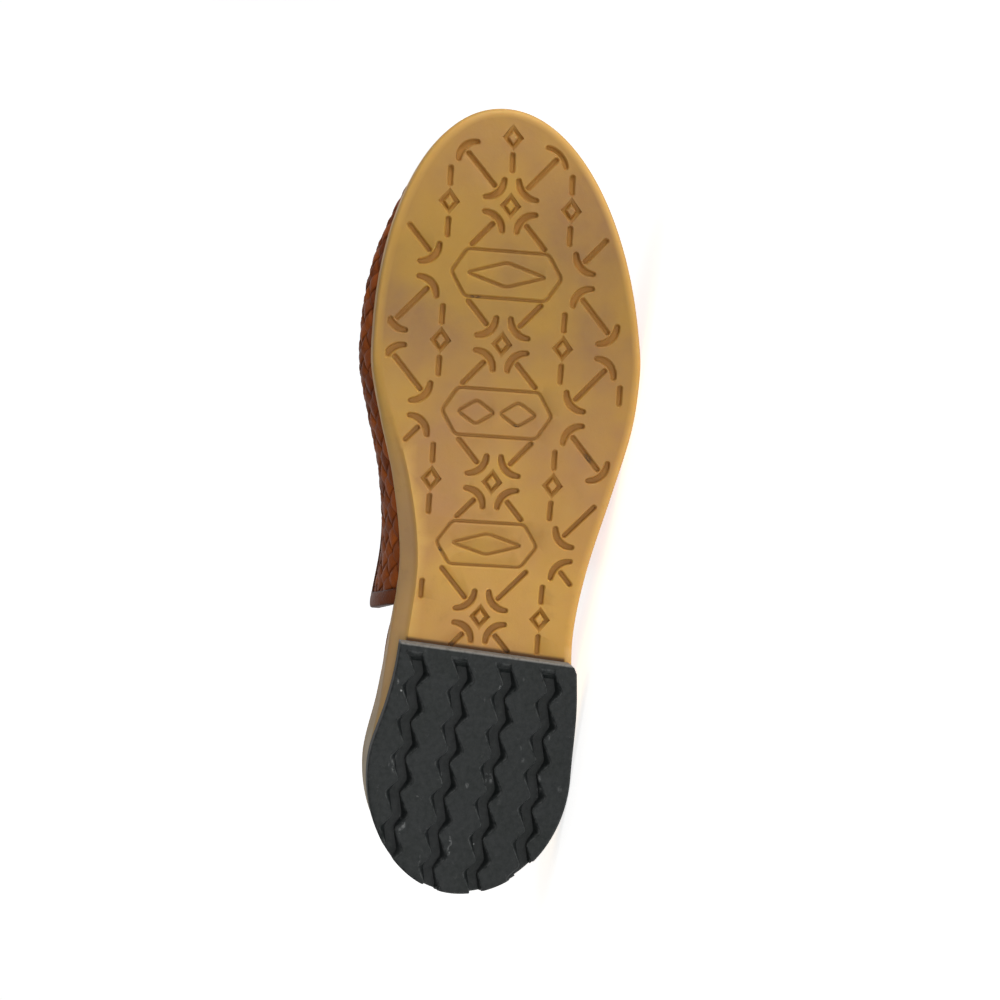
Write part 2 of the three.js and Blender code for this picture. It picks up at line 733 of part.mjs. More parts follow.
// Turns the shoe from standing to lying on its outer side: the face of its hull that its weight
// comes down on lies on the floor, the toe points along +x and the tread faces -y.
function layOnSide(shoe, densities) {
  const points = [];
  const weight = new THREE.Vector3();
  let mass = 0;
  for (const mesh of shoe.children) {
    const position = mesh.geometry.getAttribute("position");
    for (let k = 0; k < position.count; k++) {
      points.push(new THREE.Vector3().fromBufferAttribute(position, k));
    }
    const { volume, moment } = momentOf(mesh);
    weight.addScaledVector(moment, densities.get(mesh));
    mass += volume * densities.get(mesh);
  }
  weight.divideScalar(mass);
  const resting = new ConvexHull().setFromPoints(points).faces.find((face) => {
    if (face.normal.y < Math.cos(restingTilt)) return false;
    const down = face.normal.clone();
    const foot = weight.clone().addScaledVector(down, -face.distanceToPoint(weight));
    const edge = face.edge;
    const corners = [edge.head().point, edge.next.head().point, edge.prev.head().point];
    return corners.every((corner, k) => {
      const along = corners[(k + 1) % 3].clone().sub(corner);
      return along.cross(foot.clone().sub(corner)).dot(down) >= 0;
    });
  });
  const up = resting.normal.clone().negate();
  const forward = new THREE.Vector3(1, 0, 0).addScaledVector(up, -up.x).normalize();
  const left = up.clone().cross(forward);
  const turn = new THREE.Matrix4().makeBasis(forward, left, up).transpose();
  shoe.quaternion.setFromRotationMatrix(turn);
  shoe.updateMatrixWorld(true);
  const box = new THREE.Box3();
  points.forEach((point) => box.expandByPoint(point.clone().applyQuaternion(shoe.quaternion)));
  shoe.position.set(-(box.min.x + box.max.x) / 2, -(box.min.y + box.max.y) / 2, -box.min.z);
}

const outsole = meshOf("outsole", makeOutsole(), gumColor, 0.5);
const heelLift = meshOf("heel_lift", makeHeelLift(), blackRubberColor, 0.7);
const upper = meshOf("upper", makeUpper(), weaveColor, 0.5);
const collarBand = meshOf("collar_band", makeCollarBand(), bandColor, 0.45);
const heelStrap = meshOf("heel_strap", makeHeelStrap(), bandColor, 0.45);
const insole = meshOf("insole", makeInsole(), insoleColor, 0.6);

const shoe = new THREE.Group();
shoe.add(outsole, heelLift, upper, collarBand, heelStrap, insole);
const densities = new Map([
  [outsole, rubberDensity],
  [heelLift, rubberDensity],
  [upper, leatherDensity],
  [collarBand, leatherDensity],
  [heelStrap, leatherDensity],
  [insole, leatherDensity],
]);
layOnSide(shoe, densities);

const sandal = new THREE.Group();
sandal.add(shoe);

export default sandal;
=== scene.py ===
# A woven huarache sandal for the left foot, lying on its outer side with its sole in view.
# Shapes are worked out in the shoe's own frame, in millimetres: x from the back of the heel to the toe,
# y to the outer side of the foot, z up from the ground. The shoe is then laid on its side, in metres.
import math

import bpy
import numpy as np
from mathutils import Matrix, Vector, geometry


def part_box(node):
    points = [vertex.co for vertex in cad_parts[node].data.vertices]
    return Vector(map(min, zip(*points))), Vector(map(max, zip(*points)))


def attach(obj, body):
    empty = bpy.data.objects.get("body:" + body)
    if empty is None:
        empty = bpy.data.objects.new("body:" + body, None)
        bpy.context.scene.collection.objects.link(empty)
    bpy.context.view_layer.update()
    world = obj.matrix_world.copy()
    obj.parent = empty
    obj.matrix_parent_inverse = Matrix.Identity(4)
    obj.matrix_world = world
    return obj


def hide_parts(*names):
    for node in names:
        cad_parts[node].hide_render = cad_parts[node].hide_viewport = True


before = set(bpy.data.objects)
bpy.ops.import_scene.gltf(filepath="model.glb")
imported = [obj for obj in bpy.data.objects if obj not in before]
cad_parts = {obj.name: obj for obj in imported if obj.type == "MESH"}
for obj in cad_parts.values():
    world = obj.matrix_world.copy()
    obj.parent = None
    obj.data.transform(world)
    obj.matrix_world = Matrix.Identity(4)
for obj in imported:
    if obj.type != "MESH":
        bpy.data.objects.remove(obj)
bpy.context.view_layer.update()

INNER = -1
OUTER = 1

# Sole
RIM_POINTS = 170
SOLE_LENGTH = 270.0
BALL_WIDTH = 95.0
WAIST_WIDTH = 63.0
HEEL_WIDTH = 70.0
FOREFOOT_THICKNESS = 9.0
HEEL_SEAT_HEIGHT = 27.0
TOE_SPRING = 9.0
RIM_ROUND = 2.4
RIM_WIDTH = 3.4
# The wall at the inner waist leans out from the tread, and the lift is tucked in there
WAIST_BACK = 45.0
WAIST_FRONT = 185.0
WAIST_BEVEL = 1.8
WAIST_RISE = 7.0
LIFT_TUCK = 2.6
# Heel lift
LIFT_THICKNESS = 7.0
BREAST_INNER = 87.0
BREAST_OUTER = 81.0
LIFT_OVERHANG = 0.4
LIFT_ROUND = 1.0
GROOVE_DEPTH = 3.4
GROOVE_WIDTH = 5.0
GROOVE_PITCH = 15.5
GROOVE_FIRST = -18.5
GROOVE_COUNT = 4
GROOVE_SWING = 2.2
GROOVE_PERIOD = 12.3
GROOVE_SLOW_SHARE = 0.62
# Last and woven upper
WALL_THICKNESS = 2.2
FOREFOOT_MARGIN = 2.0
HEEL_MARGIN = 3.2
SIDE_SWELL = 7.5
INSTEP_HEIGHT = 58.0
THROAT_HEIGHT = 68.0
STRIP_WIDTH = 6.6
QUARTER_END_INNER = 95.0
QUARTER_END_OUTER = 112.0
QUARTER_END_LEAN = 9.0
# Collar band, heel strap and insole
BAND_HEIGHT = 6.0
STRAP_WIDTH = 20.0
STRAP_THICKNESS = 2.0
STRAP_CLEARANCE = 1.7
STRAP_ANCHOR_INNER = 87.0
STRAP_ANCHOR_OUTER = 102.0
STRAP_BACK_HEIGHT = 62.0
STRAP_POWER = 3.0
STRAP_OVERRUN = 1.3
HEEL_LEAN = 4.0
INSOLE_THICKNESS = 2.0
INSOLE_MARGIN_HEEL = 1.6
INSOLE_MARGIN_FRONT = 5.8
SKIRT_LEAN = 0.5
SKIRT_TUCK = 3.0
GAP = 0.3

# How the shoe lies: its toe raised, and its tread turned a little to the floor
TOE_RAISED = math.radians(6.056)
TREAD_DOWN = math.radians(1.21)

# Shares of the sole's length
HEEL_ROUND_END = 0.155
SEAT_END = 0.2
BREAST_SHARE = 0.325
TREAD_START = 0.56
TREAD_END = 0.76
TOE_BOX_START = 0.9
SWELL_POWER = 1.3

OUTLINE = {
    "along": [0.155, 0.24, 0.33, 0.42, 0.52, 0.6, 0.66, 0.7],
    "unit": [HEEL_WIDTH] * 2 + [WAIST_WIDTH] * 2 + [BALL_WIDTH] * 4,
    INNER: [0.478, 0.427, 0.435, 0.416, 0.325, 0.389, 0.431, 0.438],
    OUTER: [0.521, 0.528, 0.566, 0.609, 0.467, 0.522, 0.548, 0.558],
}
TOE_ROUND = {INNER: (0.714, 0.473), OUTER: (0.578, 0.5)}
LAST = {
    "along": [0, 0.24, 0.34, 0.44, 0.54, 0.61, 0.7, 0.8, 0.9, 1],
    "margin": [HEEL_MARGIN] * 2 + [FOREFOOT_MARGIN] * 8,
    INNER: [0.1, 0.7, 1, 0.9, 0.75, 0.75, 0.8, 0.72, 0.32, 0.2],
    OUTER: [0.1, 0.4, 0.7, 0.8, 0.6, 0.45, 0.35, 0.35, 0.3, 0.2],
    "ridge": [1.17, 1.17, 1.17, 1.16, 1.1, 1, 0.82, 0.64, 0.5, 0.46],
    "square": [0.8, 0.8, 0.8, 0.8, 0.78, 0.76, 0.72, 0.68, 0.64, 0.62],
}
INSOLE = {"along": [0.25, 0.36], "margin": [INSOLE_MARGIN_HEEL, INSOLE_MARGIN_FRONT]}
TOPLINE = {
    "along": [0.3, 0.4, 0.49, 0.555, 0.592, 0.612],
    "height": [0.87, 0.82, 0.81, 0.85, 0.93, 1.06],
}


def smooth_step(t):
    c = np.clip(t, 0, 1)
    return c * c * (3 - 2 * c)


def smooth_least(a, b, size):
    """The lesser of two distances, with the corner between them rounded."""
    near = np.clip(size - np.abs(a - b), 0, None) / size
    return np.minimum(a, b) - near * near * size / 4


def table_value(table, column, along):
    """A smooth curve through one column of a table, level before its first row and after its last."""
    at = np.asarray(table["along"], float)
    values = np.asarray(table[column], float)
    if column in (INNER, OUTER) and "unit" in table:
        values = values * np.asarray(table["unit"], float)
    along = np.clip(np.asarray(along, float), at[0], at[-1])
    slope = np.zeros(len(at))
    slope[1:-1] = (values[2:] - values[:-2]) / (at[2:] - at[:-2])
    i = np.clip(np.searchsorted(at, along, side="right") - 1, 0, len(at) - 2)
    span = at[i + 1] - at[i]
    t = (along - at[i]) / span
    shares = (1 + 2 * t) * (1 - t) ** 2 * values[i] + t * t * (3 - 2 * t) * values[i + 1]
    return shares + span * (t * (1 - t) ** 2 * slope[i] + t * t * (t - 1) * slope[i + 1])


def end_rounding(share, side):
    share = np.asarray(share, float)
    start, power = TOE_ROUND[side]
    heel = np.sqrt(np.clip(1 - (1 - share / HEEL_ROUND_END) ** 2, 0, 1))
    past = np.clip((share - start) / (1 - start), 0, None)
    toe = np.clip(1 - past**2, 0, 1) ** power
    return np.where(share < HEEL_ROUND_END, heel, toe)


def outline_half(share, side, inset):
    return (table_value(OUTLINE, side, share) - inset) * end_rounding(share, side)


def sole_share(x):
    return np.clip(np.asarray(x, float) / SOLE_LENGTH, 0, 1)


def spring_at(share):
    return TOE_SPRING * np.clip((share - TREAD_END) / (1 - TREAD_END), 0, None) ** 2


def underside_height(share):
    arch = smooth_step((TREAD_START - share) / (TREAD_START - BREAST_SHARE))
    return LIFT_THICKNESS * arch + spring_at(share)


def top_height(share):
    rise = smooth_step((TREAD_START - share) / (TREAD_START - SEAT_END))
    return FOREFOOT_THICKNESS + (HEEL_SEAT_HEIGHT - FOREFOOT_THICKNESS) * rise + spring_at(share)


# The last: its half width at a station x, at up from 0 at the sole to 1 at its ridge
def last_ends(inset):
    back = inset + LAST["margin"][0]
    tip = SOLE_LENGTH - inset - LAST["margin"][-1]
    return back, tip


def last_share(x, inset):
    back, tip = last_ends(inset)
    return np.clip((x - back) / (tip - back), 0, 1)


def last_ridge(x, inset):
    share = last_share(x, inset)
    past = np.clip((share - TOE_BOX_START) / (1 - TOE_BOX_START), 0, 1)
    ridge = table_value(LAST, "ridge", share) * INSTEP_HEIGHT - inset
    return ridge * np.sqrt(np.clip(1 - past * past, 0, 1))


def last_half(x, up, side, inset):
    share = last_share(x, inset)
    upright = np.clip(np.cos(up * up * np.pi / 2), 0, 1) ** table_value(LAST, "square", share)
    wide = table_value(OUTLINE, side, share) - inset - table_value(LAST, "margin", share)
    swell = table_value(LAST, side, share) * SIDE_SWELL * np.sin(np.pi * up**SWELL_POWER)
    return (wide * upright + swell) * end_rounding(share, side)


def last_height(x, up, inset):
    return top_height(sole_share(x)) + last_ridge(x, inset) * np.sin(up * up * np.pi / 2)


def last_half_at_height(x, z, side, inset):
    foot = top_height(sole_share(x))
    rise = np.clip((z - foot) / last_ridge(x, inset), 0, 1)
    return last_half(x, np.sqrt(2 * np.arcsin(rise) / np.pi), side, inset)


# Laying the shoe on its side: rows are the directions of the row's x, y and z in the shoe's frame
def lying_turn():
    up = np.array([
        math.sin(TOE_RAISED),
        -math.cos(TOE_RAISED) * math.cos(TREAD_DOWN),
        -math.cos(TOE_RAISED) * math.sin(TREAD_DOWN),
    ])
    forward = np.array([1.0, 0, 0]) - up[0] * up
    forward /= np.linalg.norm(forward)
    return np.array([forward, np.cross(up, forward), up])


TURN = lying_turn()


def eased(count):
    """Shares from 0 to 1, close together at both ends."""
    return (1 - np.cos(np.pi * np.linspace(0, 1, count))) / 2


def sole_outline(inset, count=RIM_POINTS):
    """The sole's rim seen from below, heel to toe on the outer side and back on the inner side."""
    shares = eased(count)
    x = inset + shares * (SOLE_LENGTH - 2 * inset)
    outer = np.stack([x, outline_half(shares, OUTER, inset)], 1)
    inner = np.stack([x, -outline_half(shares, INNER, inset)], 1)
    return np.concatenate([outer, inner[-2:0:-1]])


def lying_offset():
    rim = sole_outline(0, 400)
    share = sole_share(rim[:, 0])
    low = np.column_stack([rim, underside_height(share) + RIM_ROUND])
    high = np.column_stack([rim, top_height(share)])
    inside = sole_outline(RIM_WIDTH, 400)
    floor = np.column_stack([inside, underside_height(sole_share(inside[:, 0]))])
    turned = np.concatenate([low, high, floor]) @ TURN.T
    lowest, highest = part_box("outsole")
    middle = (np.array(lowest) + np.array(highest)) * 500
    return middle - (turned.min(0) + turned.max(0)) / 2


OFFSET = lying_offset()


def to_row(points):
    return (np.asarray(points, float).reshape(-1, 3) @ TURN.T + OFFSET) / 1000


# Making meshes
# Leather that would reach below the floor lies flat on it
PRESSED = 0.0012


def pressed(placed):
    low = placed[:, 2].min()
    if low < 0:
        soft = placed[:, 2] < PRESSED
        placed[soft, 2] = (placed[soft, 2] - low) * PRESSED / (PRESSED - low)
    return placed


def faced_outwards(points, faces):
    """The faces of a closed mesh, all turned over if they look inwards."""
    corners = [(face[0], *pair) for face in faces for pair in zip(face[1:], face[2:])]
    a, b, c = np.swapaxes(points[corners], 0, 1)
    return [face[::-1] for face in faces] if np.sum(a * np.cross(b, c)) < 0 else faces


def add_piece(name, points, faces, material, node, attributes, sharp):
    """A piece that replaces a node, with numbers at its points for its material to read."""
    mesh = bpy.data.meshes.new(name)
    mesh.from_pydata(pressed(to_row(points)).tolist(), [], faced_outwards(points, faces))
    place = mesh.attributes.new("shoe", "FLOAT_VECTOR", "POINT")
    place.data.foreach_set("vector", (points / 1000).astype(np.float32).ravel())
    for key, values in attributes.items():
        layer = mesh.attributes.new(key, "FLOAT", "POINT")
        layer.data.foreach_set("value", np.broadcast_to(values, len(points)).astype(np.float32))
    mesh.validate()
    mesh.update()
    mesh.shade_smooth()
    mesh.set_sharp_from_angle(angle=math.radians(sharp))
    mesh.materials.append(material)
    piece = bpy.data.objects.new(name, mesh)
    bpy.context.scene.collection.objects.link(piece)
    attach(piece, "root")
    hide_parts(node)


def ring_faces(rings, count, first=0):
    """Quads between closed rings of count points that follow one another from a first point."""
    faces = []
    for start in range(first, first + (rings - 1) * count, count):
        for k in range(count):
            n = (k + 1) % count
            faces.append([start + k, start + n, start + count + n, start + count + k])
    return faces


def tube_faces(rings, count, first=0):
    """The quads of a tube and its two flat ends."""
    near = list(range(first, first + count))
    far = [k + (rings - 1) * count for k in near]
    return ring_faces(rings, count, first) + [near[::-1], far]


# Materials
class Paint:
    """A procedural material, with short ways to add and link nodes."""

    def __init__(self, name):
        self.material = bpy.data.materials.new(name)
        self.material.use_nodes = True
        self.tree = self.material.node_tree
        self.tree.nodes.clear()
        self.shader = self.tree.nodes.new("ShaderNodeBsdfPrincipled")
        output = self.tree.nodes.new("ShaderNodeOutputMaterial")
        self.tree.links.new(self.shader.outputs["BSDF"], output.inputs["Surface"])

    def put(self, socket, value):
        if isinstance(value, bpy.types.NodeSocket):
            self.tree.links.new(value, socket)
        elif isinstance(value, tuple) and socket.type == "RGBA":
            socket.default_value = (*value, 1) if len(value) == 3 else value
        else:
            socket.default_value = value

    def node(self, kind, settings=None, **inputs):
        node = self.tree.nodes.new("ShaderNode" + kind)
        for key, value in (settings or {}).items():
            setattr(node, key, value)
        for key, value in inputs.items():
            numbered = key.startswith("in") and key[2:].isdigit()
            self.put(node.inputs[int(key[2:]) if numbered else key.replace("_", " ")], value)
        return node

    def set(self, **inputs):
        for key, value in inputs.items():
            self.put(self.shader.inputs[key.replace("_", " ")], value)

    def place(self):
        """Where a point lies in the shoe's own frame, in metres."""
        return self.node("Attribute", {"attribute_name": "shoe"}).outputs["Vector"]

    def share(self, name):
        """A number from 0 to 1 that the mesh carries at each point."""
        return self.node("Attribute", {"attribute_name": name}).outputs["Fac"]

    def noise(self, scale, detail, roughness, vector=None, distortion=0.0):
        node = self.node("TexNoise", Scale=scale, Detail=detail, Roughness=roughness, Distortion=distortion)
        self.put(node.inputs["Vector"], vector or self.place())
        return node.outputs["Fac"]

    def cells(self, scale):
        """How far a point is from the nearest of some scattered points."""
        return self.node("TexVoronoi", Scale=scale, Vector=self.place()).outputs["Distance"]

    def span(self, value, low, high, to_low=0.0, to_high=1.0):
        node = self.node("MapRange", in0=value, in1=low, in2=high, in3=to_low, in4=to_high)
        return node.outputs["Result"]

    def math(self, operation, a, b):
        return self.node("Math", {"operation": operation}, in0=a, in1=b).outputs["Value"]

    def times(self, a, b):
        return self.math("MULTIPLY", a, b)

    def vector(self, operation, a, b, result="Vector"):
        return self.node("VectorMath", {"operation": operation}, in0=a, in1=b).outputs[result]

    def mix(self, share, a, b):
        return self.node("Mix", {"data_type": "RGBA"}, Factor=share, A=a, B=b).outputs["Result"]

    def bump(self, height, distance, strength, normal=None):
        node = self.node("Bump", Height=height, Distance=distance, Strength=strength)
        if normal is not None:
            self.put(node.inputs["Normal"], normal)
        return node.outputs["Normal"]


def srgb(red, green, blue):
    """A colour given as it looks in a picture, from 0 to 255, as linear light."""
    def linear(value):
        share = value / 255
        return share / 12.92 if share <= 0.04045 else ((share + 0.055) / 1.055) ** 2.4
    return (linear(red), linear(green), linear(blue))


BREAST_ANGLE = math.atan2(BREAST_INNER - BREAST_OUTER, HEEL_WIDTH)
BREAST_MIDDLE = (BREAST_INNER + BREAST_OUTER) / 2

# Where dirt sits on the tread: x, y and radius in the shoe's frame
DIRT_SPOTS = [(152, 34, 2.6), (161, 9, 2.2), (206, -8, 2.4), (232, 20, 1.4), (118, -14, 1.3)]


def gum_rubber():
    paint = Paint("gum_rubber")
    place = paint.place()
    cloud = paint.noise(22, 3.0, 0.55)
    patch = paint.noise(70, 4.0, 0.6)
    groove_share = paint.share("groove")
    along = paint.node("SeparateXYZ", in0=place).outputs["X"]
    warm = paint.mix(paint.span(cloud, 0.4, 0.6), srgb(192, 148, 74), srgb(180, 133, 80))
    dull = paint.mix(paint.span(cloud, 0.4, 0.6), srgb(156, 120, 54), srgb(134, 100, 64))
    forward = paint.times(paint.span(along, 0.11, 0.2), paint.span(along, 0.27, 0.22, 0.7, 1.0))
    land = paint.mix(forward, warm, dull)
    land = paint.mix(paint.span(patch, 0.3, 0.75, 0.0, 0.4), land, srgb(176, 136, 60))
    # Painted shade: the grooves coloured a darker amber than the land
    groove = paint.mix(paint.span(patch, 0.3, 0.7), srgb(146, 98, 34), srgb(160, 112, 46))
    colour = paint.mix(groove_share, land, groove)
    side = paint.mix(paint.span(cloud, 0.35, 0.65), srgb(206, 164, 100), srgb(188, 148, 102))
    side = paint.mix(paint.span(along, 0.09, 0.05), side, srgb(150, 130, 94))
    side_share = paint.share("side")
    colour = paint.mix(side_share, colour, side)
    # Painted highlight: a lighter yellow on the rim's rounding and along the inner waist's tread edge
    rim = paint.times(paint.share("rim"), paint.span(cloud, 0.3, 0.6, 0.3, 0.8))
    colour = paint.mix(rim, colour, srgb(206, 164, 88))
    dirt = None
    flat = paint.vector("MULTIPLY", place, (1, 1, 0))
    for x, y, radius in DIRT_SPOTS:
        away = paint.vector("DISTANCE", flat, (x / 1000, y / 1000, 0), "Value")
        spot = paint.span(away, radius / 1000, 0.3 * radius / 1000)
        dirt = spot if dirt is None else paint.math("MAXIMUM", dirt, spot)
    speck = paint.span(paint.noise(900, 3.0, 0.7), 0.42, 0.5)
    film = paint.span(paint.noise(140, 5.0, 0.65), 0.58, 0.85, 0.0, 0.35)
    colour = paint.mix(film, colour, srgb(140, 104, 62))
    caught = paint.times(paint.times(dirt, speck), paint.span(groove_share, 0.2, 0.6))
    colour = paint.mix(caught, colour, srgb(48, 34, 22))
    # Painted shadow: a dark brown line on the gum just in front of the heel lift's front, kept off the
    # sole's wall
    ahead = ahead_of_breast(paint, place)
    painted_breast_shadow = paint.times(paint.span(ahead, 0.0017, 0.0007), paint.span(ahead, -0.002, 0.0))
    painted_breast_shadow = paint.times(painted_breast_shadow, paint.span(side_share, 0.5, 0.1))
    colour = paint.mix(painted_breast_shadow, colour, srgb(96, 66, 36))
    paint.set(Base_Color=colour, Roughness=paint.span(patch, 0.2, 0.8, 0.42, 0.62))
    paint.set(Subsurface_Weight=0.35, Subsurface_Scale=0.004, Specular_IOR_Level=0.22)
    paint.shader.inputs["Subsurface Radius"].default_value = (1.0, 0.5, 0.2)
    rough = paint.bump(paint.noise(1600, 4.0, 0.6), 0.00012, 0.5)
    wavy = paint.bump(paint.noise(120, 3.0, 0.5), 0.0009, 0.35, rough)
    paint.set(Normal=wavy)
    return paint.material


def ahead_of_breast(paint, place):
    """How far a point lies in front of the heel lift's front, in metres."""
    forward = (math.cos(BREAST_ANGLE), math.sin(BREAST_ANGLE), 0)
    along = paint.vector("DOT_PRODUCT", place, forward, "Value")
    return paint.math("SUBTRACT", along, BREAST_MIDDLE * math.cos(BREAST_ANGLE) / 1000)


def black_rubber():
    paint = Paint("black_rubber")
    place = paint.place()
    cloud = paint.noise(60, 3.0, 0.6)
    colour = paint.mix(paint.span(cloud, 0.35, 0.65), srgb(15, 21, 20), srgb(22, 26, 27))
    scratch = paint.noise(500, 4.0, 0.7)
    worn = paint.times(paint.share("worn"), paint.span(scratch, 0.35, 0.6))
    colour = paint.mix(worn, colour, srgb(78, 80, 80))
    dust = paint.span(paint.noise(260, 5.0, 0.75), 0.62, 0.75, 0.0, 0.4)
    colour = paint.mix(dust, colour, srgb(76, 77, 76))
    # Painted highlight: a light grey line along the lift's front edge
    ahead = ahead_of_breast(paint, place)
    rim = paint.times(paint.span(ahead, -0.0009, -0.0004), paint.span(scratch, 0.3, 0.5, 0.4, 0.9))
    colour = paint.mix(rim, colour, srgb(122, 120, 116))
    stretched = paint.node("Mapping", in0=place, Rotation=(0, 0, 0.5), Scale=(1, 3.4, 1))
    scuff = paint.span(paint.noise(70, 2.0, 0.5, stretched.outputs["Vector"]), 0.66, 0.72)
    scuff = paint.times(scuff, paint.span(scratch, 0.46, 0.6))
    colour = paint.mix(scuff, colour, srgb(96, 98, 98))
    chip = paint.span(paint.cells(130), 0.055, 0.03, 0.0, 0.5)
    chip = paint.times(chip, paint.span(scratch, 0.5, 0.56))
    colour = paint.mix(chip, colour, srgb(190, 192, 190))
    paint.set(Base_Color=colour, Roughness=0.62, Specular_IOR_Level=0.27)
    paint.set(Normal=paint.bump(scratch, 0.00025, 0.5))
    return paint.material


def leather(name, light, dark, edge_and_gap_shade_colour):
    paint = Paint(name)
    cloud = paint.noise(120, 4.0, 0.6)
    blend = paint.math("ADD", paint.times(paint.share("tone"), 0.6), paint.times(cloud, 0.6))
    colour = paint.mix(paint.span(blend, 0.25, 0.95), dark, light)
    pore = paint.cells(1500)
    colour = paint.mix(paint.span(pore, 0.25, 0.05, 0.0, 0.35), colour, dark)
    # Darker along the edges and creases, and painted shade in the gaps between woven strips and where a
    # strip dips under another
    colour = paint.mix(paint.share("edge"), colour, edge_and_gap_shade_colour)
    rub = paint.span(paint.noise(340, 4.0, 0.7), 0.62, 0.8, 0.0, 0.4)
    colour = paint.mix(rub, colour, light)
    paint.set(Base_Color=colour, Roughness=paint.span(cloud, 0.2, 0.8, 0.36, 0.58))
    paint.set(Specular_IOR_Level=0.1)
    crease = paint.bump(paint.noise(420, 5.0, 0.65, distortion=0.6), 0.0004, 0.45)
    paint.set(Normal=paint.bump(pore, 0.00022, 0.5, crease))
    return paint.material


GUM = gum_rubber()
BLACK = black_rubber()
WEAVE = leather("woven_leather", srgb(160, 80, 22), srgb(100, 44, 10), srgb(28, 9, 3))
BAND = leather("band_leather", srgb(130, 66, 28), srgb(88, 42, 17), srgb(42, 17, 8))
STRAP = leather("strap_leather", srgb(138, 72, 30), srgb(96, 46, 19), srgb(46, 20, 9))
FOOTBED = leather("insole_leather", srgb(196, 146, 98), srgb(160, 108, 66), srgb(110, 68, 38))


# The tread: a sheet whose mesh follows the edges of its grooves
def turned(points, angle, centre):
    cos, sin = math.cos(angle), math.sin(angle)
    points = np.asarray(points, float)
    return points @ np.array([[cos, sin], [-sin, cos]]) + np.asarray(centre, float)


def line_normals(points, closed):
    ahead = np.roll(points, -1, 0) - points
    if not closed:
        ahead = ahead[:-1]
    ahead = ahead / np.linalg.norm(ahead, axis=1)[:, None]
    side = np.stack([-ahead[:, 1], ahead[:, 0]], 1)
    if closed:
        before = np.roll(side, 1, 0)
    else:
        before = np.concatenate([side[:1], side])
        side = np.concatenate([side, side[-1:]])
    joined = before + side
    return joined / np.clip(1 + (before * side).sum(1), 0.35, None)[:, None]


def stroke_rings(points, closed, distance):
    """Closed lines at a distance round a stroke."""
    normals = line_normals(points, closed)
    left = points + normals * distance
    right = points - normals * distance
    if closed:
        return [left, right]
    caps = []
    for end, normal, start in ((points[-1], normals[-1], 0.5), (points[0], normals[0], -0.5)):
        unit = normal / np.linalg.norm(normal)
        along = np.array([unit[1], -unit[0]])
        turns = [math.pi * (start - k / 6) for k in range(1, 6)]
        caps.append(np.array([end + distance * (math.sin(a) * unit + math.cos(a) * along) for a in turns]))
    return [np.concatenate([left, caps[0], right[::-1], caps[1]])]


def distance_to_lines(points, strokes, limit):
    """How far each point is from the nearest stroke, up to a limit."""
    best = np.full(len(points), limit)
    for line, closed, _ in strokes:
        starts = line if closed else line[:-1]
        ends = np.roll(line, -1, 0) if closed else line[1:]
        low = line.min(0) - limit
        high = line.max(0) + limit
        near = np.nonzero(((points > low) & (points < high)).all(1))[0]
        for a, b in zip(starts, ends):
            run = b - a
            t = np.clip(((points[near] - a) @ run) / max(1e-9, run @ run), 0, 1)
            away = np.linalg.norm(points[near] - a - t[:, None] * run, axis=1)
            best[near] = np.minimum(best[near], away)
    return best


def sheet(outline, rings, extra):
    """Triangles that fill an outline and have the rings among their edges."""
    points = [tuple(p) for p in outline]
    edges = [(k, (k + 1) % len(outline)) for k in range(len(outline))]
    for ring in rings:
        first = len(points)
        points += [tuple(p) for p in ring]
        edges += [(first + k, first + (k + 1) % len(ring)) for k in range(len(ring))]
    points += [tuple(p) for p in extra]
    result = geometry.delaunay_2d_cdt([Vector(p) for p in points], edges, [], 0, 1e-5, False)
    flat = np.array([tuple(v) for v in result[0]])
    triangles = np.array([list(face) for face in result[2]])
    triangles = triangles[inside_outline(flat[triangles].mean(1), outline)]
    used = np.unique(triangles)
    index = np.zeros(len(flat), int)
    index[used] = np.arange(len(used))
    return flat[used], index[triangles].tolist()


def outer_loop(flat, faces):
    """The boundary of a sheet, in order."""
    edges = dict.fromkeys((a, b) for face in faces for a, b in zip(face, face[1:] + face[:1]))
    follows = {a: b for a, b in edges if (b, a) not in edges}
    start = min(follows, key=lambda k: flat[k][0])
    loop = [start]
    while follows[loop[-1]] != start:
        loop.append(follows[loop[-1]])
    return loop


def inside_outline(points, outline):
    points = np.asarray(points, float)
    inside = np.zeros(len(points), bool)
    x, y = points[:, 0], points[:, 1]
    for a, b in zip(outline, np.roll(outline, -1, 0)):
        crosses = (a[1] > y) != (b[1] > y)
        at = a[0] + (y - a[1]) * (b[0] - a[0]) / np.where(b[1] == a[1], 1e-9, b[1] - a[1])
        inside ^= crosses & (x < at)
    return inside


def inward_normals(outline):
    normals = line_normals(outline, True)
    area = np.sum(outline[:, 0] * np.roll(outline[:, 1], -1) - np.roll(outline[:, 0], -1) * outline[:, 1])
    return normals if area > 0 else -normals


def inset_outline(outline, distance):
    return outline + inward_normals(outline) * np.reshape(distance, (-1, 1))


def grid_inside(outline, start, step, margin):
    """Places on a square grid that lie at least a margin inside an outline."""
    rows = np.arange(start[0], SOLE_LENGTH, step)
    columns = np.arange(start[1], BALL_WIDTH, step)
    places = np.array([(x, y) for x in rows for y in columns])
    return places[inside_outline(places, inset_outline(outline, margin))]


def stretches(inside):
    """The unbroken rows of places at which a yes or no says yes."""
    changes = np.flatnonzero(np.diff(inside.astype(int))) + 1
    rows = np.split(np.arange(len(inside)), changes)
    return [row for row in rows if inside[row[0]]]


def arc(centre, radius, start, end, count):
    turn = np.linspace(start, end, count)
    return np.stack([centre[0] + radius * np.cos(turn), centre[1] + radius * np.sin(turn)], 1)


